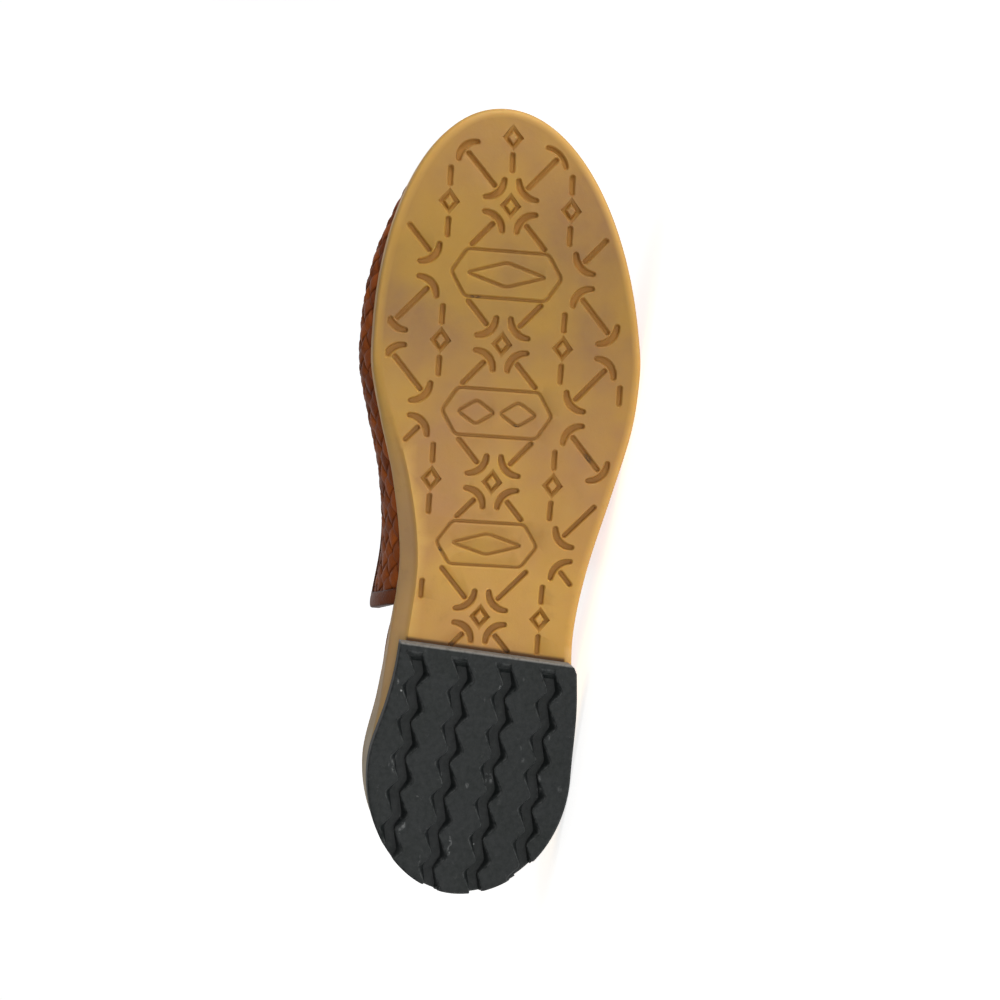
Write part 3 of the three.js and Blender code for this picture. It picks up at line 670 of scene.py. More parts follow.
def rounded(corners, radius):
    """A closed line with its corners rounded."""
    corners = np.asarray(corners, float)
    points = []
    for before, here, after in zip(np.roll(corners, 1, 0), corners, np.roll(corners, -1, 0)):
        start = here + (before - here) / np.linalg.norm(before - here) * radius
        end = here + (after - here) / np.linalg.norm(after - here) * radius
        for t in np.linspace(0, 1, 4):
            points.append((1 - t) ** 2 * start + 2 * t * (1 - t) * here + t * t * end)
    return np.array(points)


# Its grooves
LINE_HALF = 0.75
PLAQUE_LINE_HALF = 0.45
TREAD_GROOVE_DEPTH = 1.2
TREAD_EDGE = 0.45
# Where more mesh lines follow a groove's wall: how far outside its half width
TREAD_GROOVE_LEVELS = (0.12, -0.2)
TREAD_MARGIN = 1.6

# Raised plaques down the middle of the tread: x, y and half sizes along and across
PLAQUES = [(213, 2, 8.0, 19.0), (166, 2, 8.0, 19.0), (121, 2, 7.5, 17.5)]
PLAQUE_BAND = 3.8
PLAQUE_SLANT = 5.0
PLAQUE_ROUND = 1.4
PAIR_GAP = 1.6

# The lattice of medallions: its middle and steps, and what each motif is made of
LATTICE_X = 189.5
LATTICE_Y = 2.0
LATTICE_STEP_X = 23.5
LATTICE_STEP_Y = 21.0
MEDALLION_REACH = 8.8
# The bows' radii and half angles in degrees, and how far out all their ends lie
BOWS = [(5.6, 52.0), (7.4, 36.6)]
BOW_ENDS = 7.9523
LOZENGE = [(3.6, 0), (0, 2.7), (-3.6, 0), (0, -2.7)]
BAR_START = 6.0
BAR_END = 11.5
SHORTEST_STROKE = 4.6


def hexagon(half_long, half_wide):
    shoulder = half_wide - PLAQUE_SLANT
    return [
        (-half_long, -shoulder), (0, -half_wide), (half_long, -shoulder),
        (half_long, shoulder), (0, half_wide), (-half_long, shoulder),
    ]


def lozenge(half_long, half_wide, middle=0):
    return [(-half_long, middle), (0, middle + half_wide), (half_long, middle), (0, middle - half_wide)]


def plaque_lines():
    """The plaques' outlines: a hexagon ring, with a lozenge or a pair of them inside."""
    lines = []
    for k, (x, y, long, wide) in enumerate(PLAQUES):
        shapes = [hexagon(long, wide)]
        inner_long, inner_wide = long - PLAQUE_BAND, wide - 1.4 * PLAQUE_BAND
        if k % 2 == 0:
            shapes.append(lozenge(inner_long, inner_wide))
        else:
            half = (inner_wide - PAIR_GAP / 2) / 2
            shapes += [lozenge(inner_long, half, way * (half + PAIR_GAP / 2)) for way in (-1, 1)]
        for shape in shapes:
            lines.append((rounded(shape, PLAQUE_ROUND) + (x, y), True, PLAQUE_LINE_HALF))
    return lines


def between_lines(centre):
    """The small motif between the medallions: a lozenge with a bar ahead of it and one behind."""
    bars = [np.array([[way * BAR_START, 0], [way * BAR_END, 0]]) for way in (-1, 1)]
    return [(np.array(LOZENGE) + centre, True)] + [(bar + centre, False) for bar in bars]


def medallion_lines(centre):
    """One motif of the tread: an open lozenge in a ring of four bows, with bars to two neighbours."""
    lines = [(np.array(LOZENGE) + centre, True)]
    for k in range(4):
        for radius, degrees in BOWS:
            reach = math.radians(degrees)
            middle = (BOW_ENDS + radius * math.cos(reach), 0)
            bow = arc(middle, radius, math.pi - reach, math.pi + reach, 9)
            lines.append((turned(bow, math.pi * (k / 2 + 0.25), centre), False))
    for way in (1, -1):
        ahead = np.array([LATTICE_STEP_X, way * LATTICE_STEP_Y])
        start = ahead / np.linalg.norm(ahead) * MEDALLION_REACH
        lines.append((np.array([start, ahead - start]) + centre, False))
    return lines


def clipped(line, closed, allowed):
    """The stretches of a stroke that lie where it is allowed; a closed one is kept whole or not at all."""
    if allowed(line).all():
        return [(line, closed)]
    if closed:
        return []
    places = [line[0]]
    marks = [True]
    for a, b in zip(line[:-1], line[1:]):
        steps = max(1, int(np.linalg.norm(b - a) / 0.4))
        for k in range(1, steps + 1):
            places.append(a + (b - a) * k / steps)
            marks.append(k == steps)
    places = np.array(places)
    pieces = []
    for row in stretches(allowed(places)):
        if np.linalg.norm(places[row[-1]] - places[row[0]]) > SHORTEST_STROKE:
            kept = [n for n in row if n in (row[0], row[-1]) or marks[n]]
            pieces.append((places[kept], False))
    return pieces


def tread_lines(outline):
    safe = inset_outline(outline, TREAD_MARGIN)

    def allowed(points):
        good = inside_outline(points, safe)
        good &= points[:, 0] > breast_at(points[:, 1]) + 0.6
        for x, y, long, wide in PLAQUES:
            off = np.abs(points - np.array([x, y]))
            slant = (off[:, 0] / long - 0.4) * PLAQUE_SLANT
            good &= (off[:, 0] >= long + TREAD_MARGIN) | (off[:, 1] + slant >= wide + TREAD_MARGIN)
        return good

    lines = plaque_lines()
    for i in range(-5, 5):
        for j in range(-3, 4):
            centre = (LATTICE_X + LATTICE_STEP_X * i, LATTICE_Y + LATTICE_STEP_Y * j)
            motif = between_lines(centre) if (i + j) % 2 else medallion_lines(centre)
            for line, closed in motif:
                lines += [(*piece, LINE_HALF) for piece in clipped(line, closed, allowed)]
    return lines


def breast_at(y):
    return BREAST_MIDDLE - np.asarray(y) * (BREAST_INNER - BREAST_OUTER) / HEEL_WIDTH


def groove_depth(points, lines):
    """Depth of the tread's grooves at each point, from 0 on the land to 1 on their floor."""
    depth = np.zeros(len(points))
    for half, deepest in ((LINE_HALF, 1), (PLAQUE_LINE_HALF, 0.75)):
        chosen = [line for line in lines if line[2] == half]
        away = distance_to_lines(points, chosen, half + TREAD_EDGE)
        depth = np.maximum(depth, deepest * smooth_step((half + TREAD_EDGE - away - 0.15) / 0.5))
    return depth


def add_walls(flat, faces, z, loop, rings):
    """A sheet with a wall above its boundary: each ring of it has an outset and a height function."""
    outwards = -inward_normals(flat[loop])
    points = [np.column_stack([flat, z])]
    faces = list(faces)
    count = len(loop)
    below = loop
    for r, (outset, height) in enumerate(rings):
        moved = flat[loop] + outwards * np.reshape(outset, (-1, 1))
        points.append(np.column_stack([moved, height(moved, z[loop])]))
        here = list(range(len(flat) + r * count, len(flat) + (r + 1) * count))
        for k in range(count):
            n = (k + 1) % count
            faces.append([below[n], below[k], here[k], here[n]])
        below = here
    return np.concatenate(points), faces, below


def closing_faces(ring):
    """Quads that close a ring of an even count by pairing its first half with its second half."""
    other = ring[::-1]
    return [[ring[k + 1], ring[k], other[k], other[k + 1]] for k in range(len(ring) // 2 - 1)]


def waist_share(points):
    """How far points of the rim belong to the inner waist, from 0 to 1."""
    x, inner = points[:, 0], points[:, 1] * INNER
    return smooth_step((x - WAIST_BACK) / 35) * smooth_step((WAIST_FRONT - x) / 60) * smooth_step(inner / 10)


def make_outsole():
    rim = sole_outline(0)
    outline = inset_outline(rim, RIM_WIDTH + WAIST_BEVEL * waist_share(rim))
    lines = tread_lines(outline)
    rings = []
    for line, closed, half in lines:
        for outside in (TREAD_EDGE, *TREAD_GROOVE_LEVELS):
            rings += stroke_rings(line, closed, half + outside)
    flat, faces = sheet(outline, rings, grid_inside(outline, (4, -48), 6.0, 1.5))
    depth = groove_depth(flat, lines)
    z = underside_height(sole_share(flat[:, 0])) + TREAD_GROOVE_DEPTH * depth
    loop = outer_loop(flat, faces)
    waist = waist_share(flat[loop])
    width = RIM_WIDTH + WAIST_BEVEL * waist
    rise = RIM_ROUND + WAIST_RISE * waist
    wall = []
    for t in np.arange(1, 7) / 6:
        out = (1 - waist) * math.sin(math.pi / 2 * t) + waist * t
        up = (1 - waist) * (1 - math.cos(math.pi / 2 * t)) + waist * t
        wall.append((width * out, lambda p, low, up=up: low + rise * up))
    for t in np.arange(1, 11) / 10:
        def height(p, low, t=t):
            return (1 - t) * (low + rise) + t * top_height(sole_share(p[:, 0]))
        wall.append((width, height))
    points, faces, top = add_walls(flat, faces, z, loop, wall)
    faces += closing_faces(top)
    side = np.zeros(len(points))
    # rim: where the gum's material paints a lighter highlight, on the rim's rounding and along the inner
    # waist's tread edge
    rim = np.zeros(len(points))
    rim[loop] = waist
    on_wall = np.maximum(waist, flat[loop][:, 0] < BREAST_INNER)
    for r in range(len(wall)):
        ring = slice(len(flat) + r * len(loop), len(flat) + (r + 1) * len(loop))
        side[ring] = np.maximum(on_wall * min(1, r + 0.5), min(1, max(0, (r - 3) / 5)))
        rim[ring] = max(0, 1 - abs(r - 2) / 3) * (1 - waist)
    # groove: depth share, which the gum's material uses for painted shade in the grooves and for the dirt
    # caught there
    groove = np.concatenate([depth, np.zeros(len(points) - len(flat))])
    add_piece(
        "outsole_gum", points, faces, GUM, "outsole",
        {"groove": groove, "side": side, "rim": rim}, 35,
    )


# The heel lift with its zigzag grooves. The walls of a groove, from the tread down: how far outside its
# half width, how deep, how far behind the lift's front it starts, and what share of the zigzag it follows
GROOVE_WALL = [
    (0.45, 0.0, 2.2, 1.0),
    (0.1, 0.3, 2.8, 1.0),
    (-0.35, 1.5, 4.2, 0.8),
    (-0.85, GROOVE_DEPTH, 6.0, 0.5),
]
ZIGZAG_SOFTNESS = 0.8
GROOVE_MIDDLES = [GROOVE_FIRST + k * GROOVE_PITCH for k in range(GROOVE_COUNT)]


def zigzag(x):
    """How far a groove swings to the outer side at x behind the lift's front."""
    def sharp(place):
        phase = (place + BREAST_MIDDLE + GROOVE_PERIOD) / GROOVE_PERIOD
        phase = phase - np.floor(phase)
        falling = GROOVE_SWING * (1 - 2 * phase / GROOVE_SLOW_SHARE)
        rising = GROOVE_SWING * (2 * (phase - GROOVE_SLOW_SHARE) / (1 - GROOVE_SLOW_SHARE) - 1)
        return np.where(phase < GROOVE_SLOW_SHARE, falling, rising)
    x = np.asarray(x, float)
    return sum(sharp(x + step * ZIGZAG_SOFTNESS) for step in (-1, -0.5, 0, 0.5, 1)) / 5


def to_breast(flat):
    """Points in the lift's own directions: square to its front, and along it."""
    return turned(np.asarray(flat, float) - np.array([BREAST_MIDDLE, 0]), -BREAST_ANGLE, (0, 0))


def groove_ring(middle, outside, behind, share):
    """A closed line along both walls of one groove."""
    x = np.append(np.arange(-BREAST_MIDDLE - GROOVE_PERIOD, -behind - 0.2, 0.7), -behind)
    half = GROOVE_WIDTH / 2 + outside
    left = np.column_stack([x, middle + share * zigzag(x) - half])
    right = np.column_stack([x, middle + share * zigzag(x) + half])[::-1]
    return turned(np.concatenate([left, right]), BREAST_ANGLE, (BREAST_MIDDLE, 0))


def groove_rings():
    return [
        groove_ring(middle, outside, behind, share)
        for middle in GROOVE_MIDDLES
        for outside, _, behind, share in GROOVE_WALL
    ]


def inside_groove(own, middle, wall, spare):
    """Where points lie inside one level of a groove's walls, made larger by a spare distance."""
    outside, _, behind, share = wall
    off = np.abs(own[:, 1] - middle - share * zigzag(own[:, 0]))
    return (off < GROOVE_WIDTH / 2 + outside + spare) & (own[:, 0] < spare - behind)


def lift_depth(flat):
    own = to_breast(flat)
    depth = np.zeros(len(own))
    for middle in GROOVE_MIDDLES:
        for wall in GROOVE_WALL:
            depth = np.where(inside_groove(own, middle, wall, 0.02), np.maximum(depth, wall[1]), depth)
    return depth


def off_the_walls(flat):
    """Points on the tread or on a groove's floor, not on the walls between."""
    own = to_breast(flat)
    clear = np.ones(len(own), bool)
    for middle in GROOVE_MIDDLES:
        within = inside_groove(own, middle, GROOVE_WALL[0], 0.4)
        floor = inside_groove(own, middle, GROOVE_WALL[-1], -0.4)
        clear &= ~within | floor
    return clear


def lift_outline():
    """The lift's outline, round the heel from the inner end of its front to the outer one."""
    rim = sole_outline(0)
    rim = inset_outline(rim, LIFT_TUCK * waist_share(rim) - LIFT_OVERHANG)
    rim = np.roll(rim, len(rim) // 2, 0)
    ahead = to_breast(rim)[:, 0]
    first, last = np.flatnonzero(ahead < 0)[[0, -1]]
    corners = [
        rim[k] + (rim[n] - rim[k]) * ahead[k] / (ahead[k] - ahead[n])
        for k, n in ((first, first - 1), (last, last + 1))
    ]
    return np.concatenate([corners[:1], rim[first:last + 1], corners[1:]])


def make_lift():
    outline = inset_outline(lift_outline(), LIFT_ROUND)
    extra = grid_inside(outline, (2, -38), 2.0, 0.8)
    flat, faces = sheet(outline, groove_rings(), extra[off_the_walls(extra)])
    depth = lift_depth(flat)
    top = LIFT_THICKNESS - GAP
    wall = []
    for a in math.pi / 2 * np.arange(1, 5) / 4:
        wall.append((LIFT_ROUND * math.sin(a), lambda p, low, a=a: low + LIFT_ROUND * (1 - math.cos(a))))
    for t in np.arange(1, 4) / 3:
        wall.append((LIFT_ROUND, lambda p, low, t=t: (1 - t) * (low + LIFT_ROUND) + t * top))
    points, faces, ring = add_walls(flat, faces, depth, outer_loop(flat, faces), wall)
    middle = len(points)
    points = np.concatenate([points, [[45, 0, top]]])
    faces += [[b, a, middle] for a, b in zip(ring, ring[1:] + ring[:1])]
    worn = np.full(len(points), 0.35)
    worn[: len(flat)] = np.where((depth > 0.05) & (depth < 1.2), 0.8, 0.12)
    add_piece(
        "heel_lift_rubber", points, faces, BLACK, "heel_lift",
        {"worn": worn}, 28,
    )


# The last's skin, measured out along its ridge from the toe and by girth from the ridge
GRID = 0.75
SKIN_START = 0.3
SKIN_BACK = 68.0
GIRTH_REACH = 132.0
EDGE_ROUND = 6.0
# What the skin's table holds after a place and its normal: how far that is inside the upper's edges, and
# how far above the sole
INSIDE = 6
ABOVE = 7


def topline_points():
    knots = np.column_stack([
        np.array(TOPLINE["along"]) * SOLE_LENGTH,
        np.array(TOPLINE["height"]) * THROAT_HEIGHT,
    ])
    last = len(knots) - 1
    line = []
    for t in np.linspace(0, last, 61):
        k = min(int(t), last)
        w = t - k
        a, b = knots[max(0, k - 1)], knots[k]
        c, d = knots[min(last, k + 1)], knots[min(last, k + 2)]
        pull_b, pull_c = (c - a) / 2, (d - b) / 2
        line.append(
            (2 * b - 2 * c + pull_b + pull_c) * w**3
            + (-3 * b + 3 * c - 2 * pull_b - pull_c) * w**2 + pull_b * w + b
        )
    return np.array(line)


def below_topline(points):
    """How far points lie below the foot opening's edge in side view, negative above it."""
    line = topline_points()
    line = np.concatenate([[line[0] - (300, 0)], line, [line[-1] + (0, 300)]])
    flat = points[..., [0, 2]].reshape(-1, 2)
    best = np.full(len(flat), 1e9)
    sign = np.ones(len(flat))
    for a, b in zip(line[:-1], line[1:]):
        run = b - a
        t = np.clip(((flat - a) @ run) / (run @ run), 0, 1)
        off = flat - a - t[:, None] * run
        away = np.linalg.norm(off, axis=1)
        side = np.where(run[0] * (flat[:, 1] - a[1]) - run[1] * (flat[:, 0] - a[0]) > 0, -1, 1)
        nearer = away < best - 1e-9
        best = np.where(nearer, away, best)
        sign = np.where(nearer, side, sign)
    return (best * sign).reshape(points.shape[:-1])


def ahead_of_quarter_end(points):
    """How far points lie in front of the back end of the quarters."""
    middle = (QUARTER_END_INNER + QUARTER_END_OUTER) / 2
    turn = math.atan2(QUARTER_END_OUTER - QUARTER_END_INNER, 0.5 * (WAIST_WIDTH + HEEL_WIDTH))
    across = (points[..., 0] - middle) * math.cos(turn) - points[..., 1] * math.sin(turn)
    lean = QUARTER_END_LEAN / THROAT_HEIGHT
    rise = points[..., 2] - top_height(sole_share(middle))
    return (across + lean * rise) / math.hypot(1, lean)


def skin_table():
    back, tip = last_ends(0)
    marks = tip - np.linspace(0, 1, 1201) ** 2 * (tip - SKIN_BACK)
    crest = last_height(marks, 1.0, 0)
    crest[0] = top_height(sole_share(tip))
    steps = np.hypot(np.diff(marks), np.diff(crest))
    lengths = np.concatenate([[0], np.cumsum(steps)])
    wanted = SKIN_START + GRID * np.arange(int(lengths[-1] / GRID))
    x = np.interp(wanted, lengths, marks)
    ups = 1 - np.linspace(0, 1, 121)
    girths = GRID * np.arange(int(GIRTH_REACH / GRID) + 1)
    halves = {}
    for side in (INNER, OUTER):
        y = side * last_half(x[:, None], ups[None, :], side, 0)
        z = last_height(x[:, None], ups[None, :], 0)
        steps = [np.diff(values, axis=1, prepend=values[:, :1]) for values in (y, z)]
        arcs = np.cumsum(np.hypot(*steps), axis=1)
        rows = np.zeros((len(x), len(girths), 3))
        for r in range(len(x)):
            past = np.clip(girths - arcs[r, -1], 0, None)
            tuck = np.minimum(np.minimum(SKIRT_LEAN * past, SKIRT_TUCK), 0.5 * abs(y[r, -1]))
            rows[r, :, 0] = x[r]
            rows[r, :, 1] = np.interp(girths, arcs[r], y[r]) - np.sign(y[r, -1]) * tuck
            rows[r, :, 2] = np.interp(girths, arcs[r], z[r]) - past
        halves[side] = rows
    skin = np.concatenate([halves[INNER][:, :0:-1], halves[OUTER]], axis=1)
    normals = np.cross(np.gradient(skin, axis=1), np.gradient(skin, axis=0))
    normals /= np.clip(np.linalg.norm(normals, axis=2), 1e-9, None)[..., None]
    inside = smooth_least(below_topline(skin), ahead_of_quarter_end(skin), EDGE_ROUND)
    above_sole = skin[..., 2] - top_height(sole_share(skin[..., 0])) - 0.1
    return np.concatenate([skin, normals, inside[..., None], above_sole[..., None]], axis=2)


SKIN = skin_table()


def on_skin(length, girth):
    """Place, outward normal, distance inside the upper's edges and height above the sole."""
    length, girth = np.broadcast_arrays(np.asarray(length, float), np.asarray(girth, float))
    u = np.clip((length - SKIN_START) / GRID, 0, SKIN.shape[0] - 1.001)
    v = np.clip(girth / GRID + (SKIN.shape[1] - 1) / 2, 0, SKIN.shape[1] - 1.001)
    i, j = u.astype(int), v.astype(int)
    a, b = (u - i)[..., None], (v - j)[..., None]
    low = SKIN[i, j] * (1 - b) + SKIN[i, j + 1] * b
    high = SKIN[i + 1, j] * (1 - b) + SKIN[i + 1, j + 1] * b
    return low * (1 - a) + high * a


def raised(length, girth, height):
    found = on_skin(length, girth)
    return found[..., :3] + found[..., 3:6] * np.asarray(height)[..., None]


# Woven strips
STRIP_THICKNESS = 1.5
STRIP_COVER = 0.985
WEAVE_SWING = 0.72
WEAVE_MIDDLE = -0.42
STRIP_STEP = 1.3
SEARCH_STEP = 0.5
SHORTEST_STRIP = 4.0
UNDER_BAND = 3.2
TOE_STOP = 0.6
GIRTH_STOP = 2.0
END_SLANT = 4.5
STRIP_PROFILE = [
    (-1.0, 0.0), (-0.94, 0.5), (-0.76, 0.82), (-0.35, 1.0), (0.35, 1.0), (0.76, 0.82), (0.94, 0.5),
    (1.0, 0.0), (0.86, -0.8), (0.0, -0.9), (-0.86, -0.8),
]


def strip_line(slant, number, s, across):
    """Length and girth on the last at s along a strip and across it from its middle."""
    cell = STRIP_WIDTH / math.sqrt(2)
    length = number * cell + (s + across) / math.sqrt(2)
    girth = -slant * number * cell + slant * (s - across) / math.sqrt(2)
    return length, girth


def kept_on_skin(length, girth):
    """Positive where a strip shows: on the skin, below the band and above the sole."""
    found = on_skin(length, girth)
    kept = np.minimum(found[..., INSIDE] - UNDER_BAND, found[..., ABOVE])
    return np.where((length < TOE_STOP) | (np.abs(girth) > GIRTH_REACH - GIRTH_STOP), -1, kept)


def run_ends(kept, s, middle):
    """Where a run that holds s[middle] starts and ends."""
    if kept[middle] <= 0:
        return None
    run = next(row for row in stretches(kept > 0) if row[0] <= middle <= row[-1])
    ends = []
    for here, there in ((run[0], run[0] - 1), (run[-1], run[-1] + 1)):
        share = kept[here] / (kept[here] - kept[there]) if 0 <= there < len(s) else 0
        ends.append(s[here] + (s[there % len(s)] - s[here]) * share)
    return ends


def make_weave():
    random = np.random.default_rng(7)
    half = STRIP_COVER * STRIP_WIDTH / 2
    profile = np.array(STRIP_PROFILE)
    count = len(profile)
    s = np.arange(-30, 420, SEARCH_STEP)
    points, faces, tones, edges = [], [], [], []
    total = 0
    for slant in (1, -1):
        for number in range(-32, 64):
            line_s = s - number * STRIP_WIDTH
            kept = {
                w: kept_on_skin(*strip_line(slant, number, line_s, w * half))
                for w in sorted(set(profile[:, 0]))
            }
            tone = random.random()
            for row in stretches(kept[0.0] > 0):
                long = len(row) * SEARCH_STEP
                if long < SHORTEST_STRIP:
                    continue
                middle = row[len(row) // 2]
                own_ends = run_ends(kept[0.0], line_s, middle)
                ends = np.array([run_ends(kept[w], line_s, middle) or own_ends for w, _ in profile])
                ends = np.clip(ends, np.subtract(own_ends, END_SLANT), np.add(own_ends, END_SLANT))
                rings = max(3, int(long / STRIP_STEP)) + 1
                t = np.linspace(0, 1, rings)[:, None]
                along = ends[:, 0] * (1 - t) + ends[:, 1] * t
                length, girth = strip_line(slant, number, along, profile[:, 0] * half)
                wave = slant * np.cos(np.pi * (number + along / STRIP_WIDTH))
                height = WEAVE_MIDDLE + WEAVE_SWING * wave + profile[:, 1] * STRIP_THICKNESS / 2
                points.append(raised(length, girth, height).reshape(-1, 3))
                body = tube_faces(rings, count, total)
                faces += [face[::-1] for face in body] if slant == 1 else body
                total += rings * count
                tones.append(np.full(rings * count, tone))
                # Painted shade: darker along each strip's edges, where strips meet, and where a strip dips
                # under a crossing one
                rim = np.clip((np.abs(profile[:, 0]) - 0.8) / 0.2, 0, 1) * 0.55
                under_strip_shade = np.clip(0.15 - 0.5 * wave, 0, 1) * 0.9
                edges.append(np.clip(rim + under_strip_shade, 0, 1).reshape(-1))
    add_piece(
        "upper_weave", np.concatenate(points), faces, WEAVE, "upper",
        {"tone": np.concatenate(tones), "edge": np.concatenate(edges)}, 60,
    )


# The smooth band along the foot opening and down the back ends of both quarters
BAND_PROFILE = [
    (0.0, 0.9), (0.25, 1.35), (0.9, 1.6), (2.0, 1.75), (3.0, 1.8), (4.0, 1.75), (5.1, 1.6), (5.75, 1.3),
    (6.0, 0.8), (6.0, -1.6), (5.6, -2.2), (4.6, -2.4), (3.0, -2.4), (1.4, -2.4), (0.4, -2.2), (0.0, -1.6),
]
BAND_STEP = 1.0
SLOPE_REACH = 0.4


def band_path(depth, way):
    """A line on the skin at a depth inside the upper's edge, from the throat down to the sole."""
    def inside(place):
        return on_skin(place[0], place[1])[INSIDE] - depth

    lengths = np.arange(2, (SKIN.shape[0] - 2) * GRID, 0.25)
    value = on_skin(lengths, 0.0)[..., INSIDE] - depth
    k = np.nonzero((value[:-1] > 0) & (value[1:] <= 0))[0][0]
    here = np.array([lengths[k] + 0.25 * value[k] / (value[k] - value[k + 1]), 0.0])
    path = [here]
    direction = np.array([0.0, way])
    for _ in range(400):
        guess = here + direction * BAND_STEP
        for _ in range(4):
            rises = [inside(guess + step) - inside(guess - step) for step in SLOPE_REACH * np.eye(2)]
            slope = np.array(rises) / (2 * SLOPE_REACH)
            guess = guess - np.clip(inside(guess) / max(slope @ slope, 0.05), -1.5, 1.5) * slope
        direction = (guess - here) / max(1e-6, np.linalg.norm(guess - here))
        here = guess
        path.append(here)
        if on_skin(here[0], here[1])[ABOVE] < -6 or abs(here[1]) > GIRTH_REACH - 3:
            break
    return np.array(path)


def resampled(path, step):
    runs = np.concatenate([[0], np.cumsum(np.linalg.norm(np.diff(path, axis=0), axis=1))])
    wanted = np.linspace(0, runs[-1], int(runs[-1] / step) + 1)
    return np.stack([np.interp(wanted, runs, path[:, k]) for k in range(path.shape[1])], 1)


def smoothed(path, rounds):
    for _ in range(rounds):
        path[1:-1] = 0.25 * path[:-2] + 0.5 * path[1:-1] + 0.25 * path[2:]
    return path


def cut_to_run(line, kept, rows):
    """The stretch of a line about its middle where kept is positive, in even steps."""
    index = np.arange(len(line), dtype=float)
    wanted = np.linspace(*run_ends(kept, index, len(line) // 2), rows)
    return np.stack([np.interp(wanted, index, column) for column in line.T], 1)


def make_band():
    path = np.concatenate([band_path(BAND_HEIGHT / 2, -1)[:0:-1], band_path(BAND_HEIGHT / 2, 1)])
    path = smoothed(resampled(path, BAND_STEP), 6)
    ahead = np.gradient(path, axis=0)
    ahead /= np.linalg.norm(ahead, axis=1)[:, None]
    side = np.stack([ahead[:, 1], -ahead[:, 0]], 1)
    middle = len(path) // 2
    if on_skin(*(path[middle] + side[middle]))[INSIDE] < on_skin(*path[middle])[INSIDE]:
        side = -side
    profile = np.array(BAND_PROFILE)
    rows = 2 * len(path)
    lines = []
    for across, _ in profile:
        line = path + side * (across - BAND_HEIGHT / 2)
        lines.append(cut_to_run(line, on_skin(line[:, 0], line[:, 1])[:, ABOVE], rows))
    grid = np.stack(lines, 1)
    points = raised(grid[..., 0], grid[..., 1], np.tile(profile[:, 1], (rows, 1))).reshape(-1, 3)
    edge = np.tile(np.clip(np.abs(profile[:, 0] - BAND_HEIGHT / 2) - 2.2, 0, 0.6), rows)
    add_piece(
        "collar_band_leather", points, tube_faces(rows, len(profile)), BAND, "collar_band",
        {"tone": 0.5, "edge": edge}, 50,
    )


# The strap round the heel
def strap_point(t, across, inset):
    t, across, inset = np.broadcast_arrays(t, across, inset)
    result = np.zeros(t.shape + (3,))
    for side, anchor in ((INNER, STRAP_ANCHOR_INNER), (OUTER, STRAP_ANCHOR_OUTER)):
        away = np.abs(t)
        foot = top_height(sole_share(anchor))
        drop = STRAP_BACK_HEIGHT - foot
        run = anchor - HEEL_MARGIN
        speed = np.hypot(0.5 * np.pi * run * np.sin(0.5 * np.pi * away), 0.5 * HEEL_WIDTH)
        slope = -drop * STRAP_POWER * away ** (STRAP_POWER - 1)
        turn = np.arctan2(slope, speed)
        offset = across * STRAP_WIDTH
        z = STRAP_BACK_HEIGHT - drop * away**STRAP_POWER + np.cos(turn) * offset
        round_share = np.clip(away - np.sin(turn) * offset / speed, 0, None)
        rise = (z - HEEL_SEAT_HEIGHT) / INSTEP_HEIGHT
        lean = HEEL_LEAN * rise**2 * np.clip(1 - round_share, 0, None)
        back = HEEL_MARGIN + inset
        reach = np.where(
            round_share <= 1, 1 - np.cos(0.5 * np.pi * round_share), 1 + 0.5 * np.pi * (round_share - 1)
        )
        plan = back + reach * (anchor - back)
        y = side * last_half_at_height(plan, z, side, inset)
        here = t < 0 if side == INNER else t >= 0
        result[here] = np.stack([plan + lean, y, z], -1)[here]
    return result


# The strap's section: shares of its width across and of its thickness out, with a crease near each edge
STRAP_PROFILE = [
    (-0.5, 0.45), (-0.488, 0.14), (-0.46, 0.02), (-0.425, 0.0), (-0.405, 0.13), (-0.385, 0.0),
    (-0.2, -0.03), (0.0, -0.04), (0.2, -0.03),
    (0.385, 0.0), (0.405, 0.13), (0.425, 0.0), (0.46, 0.02), (0.488, 0.14), (0.5, 0.45),
    (0.5, 0.75), (0.48, 1.0), (0.25, 1.0), (0.0, 1.0), (-0.25, 1.0), (-0.48, 1.0), (-0.5, 0.75),
]


def make_strap():
    profile = np.array(STRAP_PROFILE)
    outside = WALL_THICKNESS + STRAP_CLEARANCE
    t = STRAP_OVERRUN * np.sin(np.pi * np.linspace(-0.5, 0.5, 401))
    rows = 240
    lines = []
    for across, deep in profile:
        line = strap_point(t, across, outside + deep * STRAP_THICKNESS)
        above = line[:, 2] - top_height(sole_share(line[:, 0])) - 0.1
        lines.append(cut_to_run(line, above, rows))
    points = np.stack(lines, 1).reshape(-1, 3)
    crease = np.where(np.abs(np.abs(profile[:, 0]) - 0.405) < 0.004, 0.55, 0)
    rim = np.where(np.abs(profile[:, 0]) > 0.485, 0.7, 0)
    add_piece(
        "heel_strap_leather", points, tube_faces(rows, len(profile)), STRAP, "heel_strap",
        {"tone": 0.6, "edge": np.tile(np.maximum(crease, rim), rows)}, 50,
    )


# The insole, with its rim set in where the strap's ends go down past it
def insole_inset(share, side, extra):
    margin = table_value(INSOLE, "margin", share)
    anchor = STRAP_ANCHOR_INNER if side == INNER else STRAP_ANCHOR_OUTER
    x = share * SOLE_LENGTH
    beside = smooth_step((STRAP_WIDTH / 2 + 4 - np.abs(x - anchor - 1)) / 3)
    notch = HEEL_MARGIN + WALL_THICKNESS + STRAP_CLEARANCE + STRAP_THICKNESS + 2 * GAP + 0.6
    return margin + (notch - margin) * beside + extra


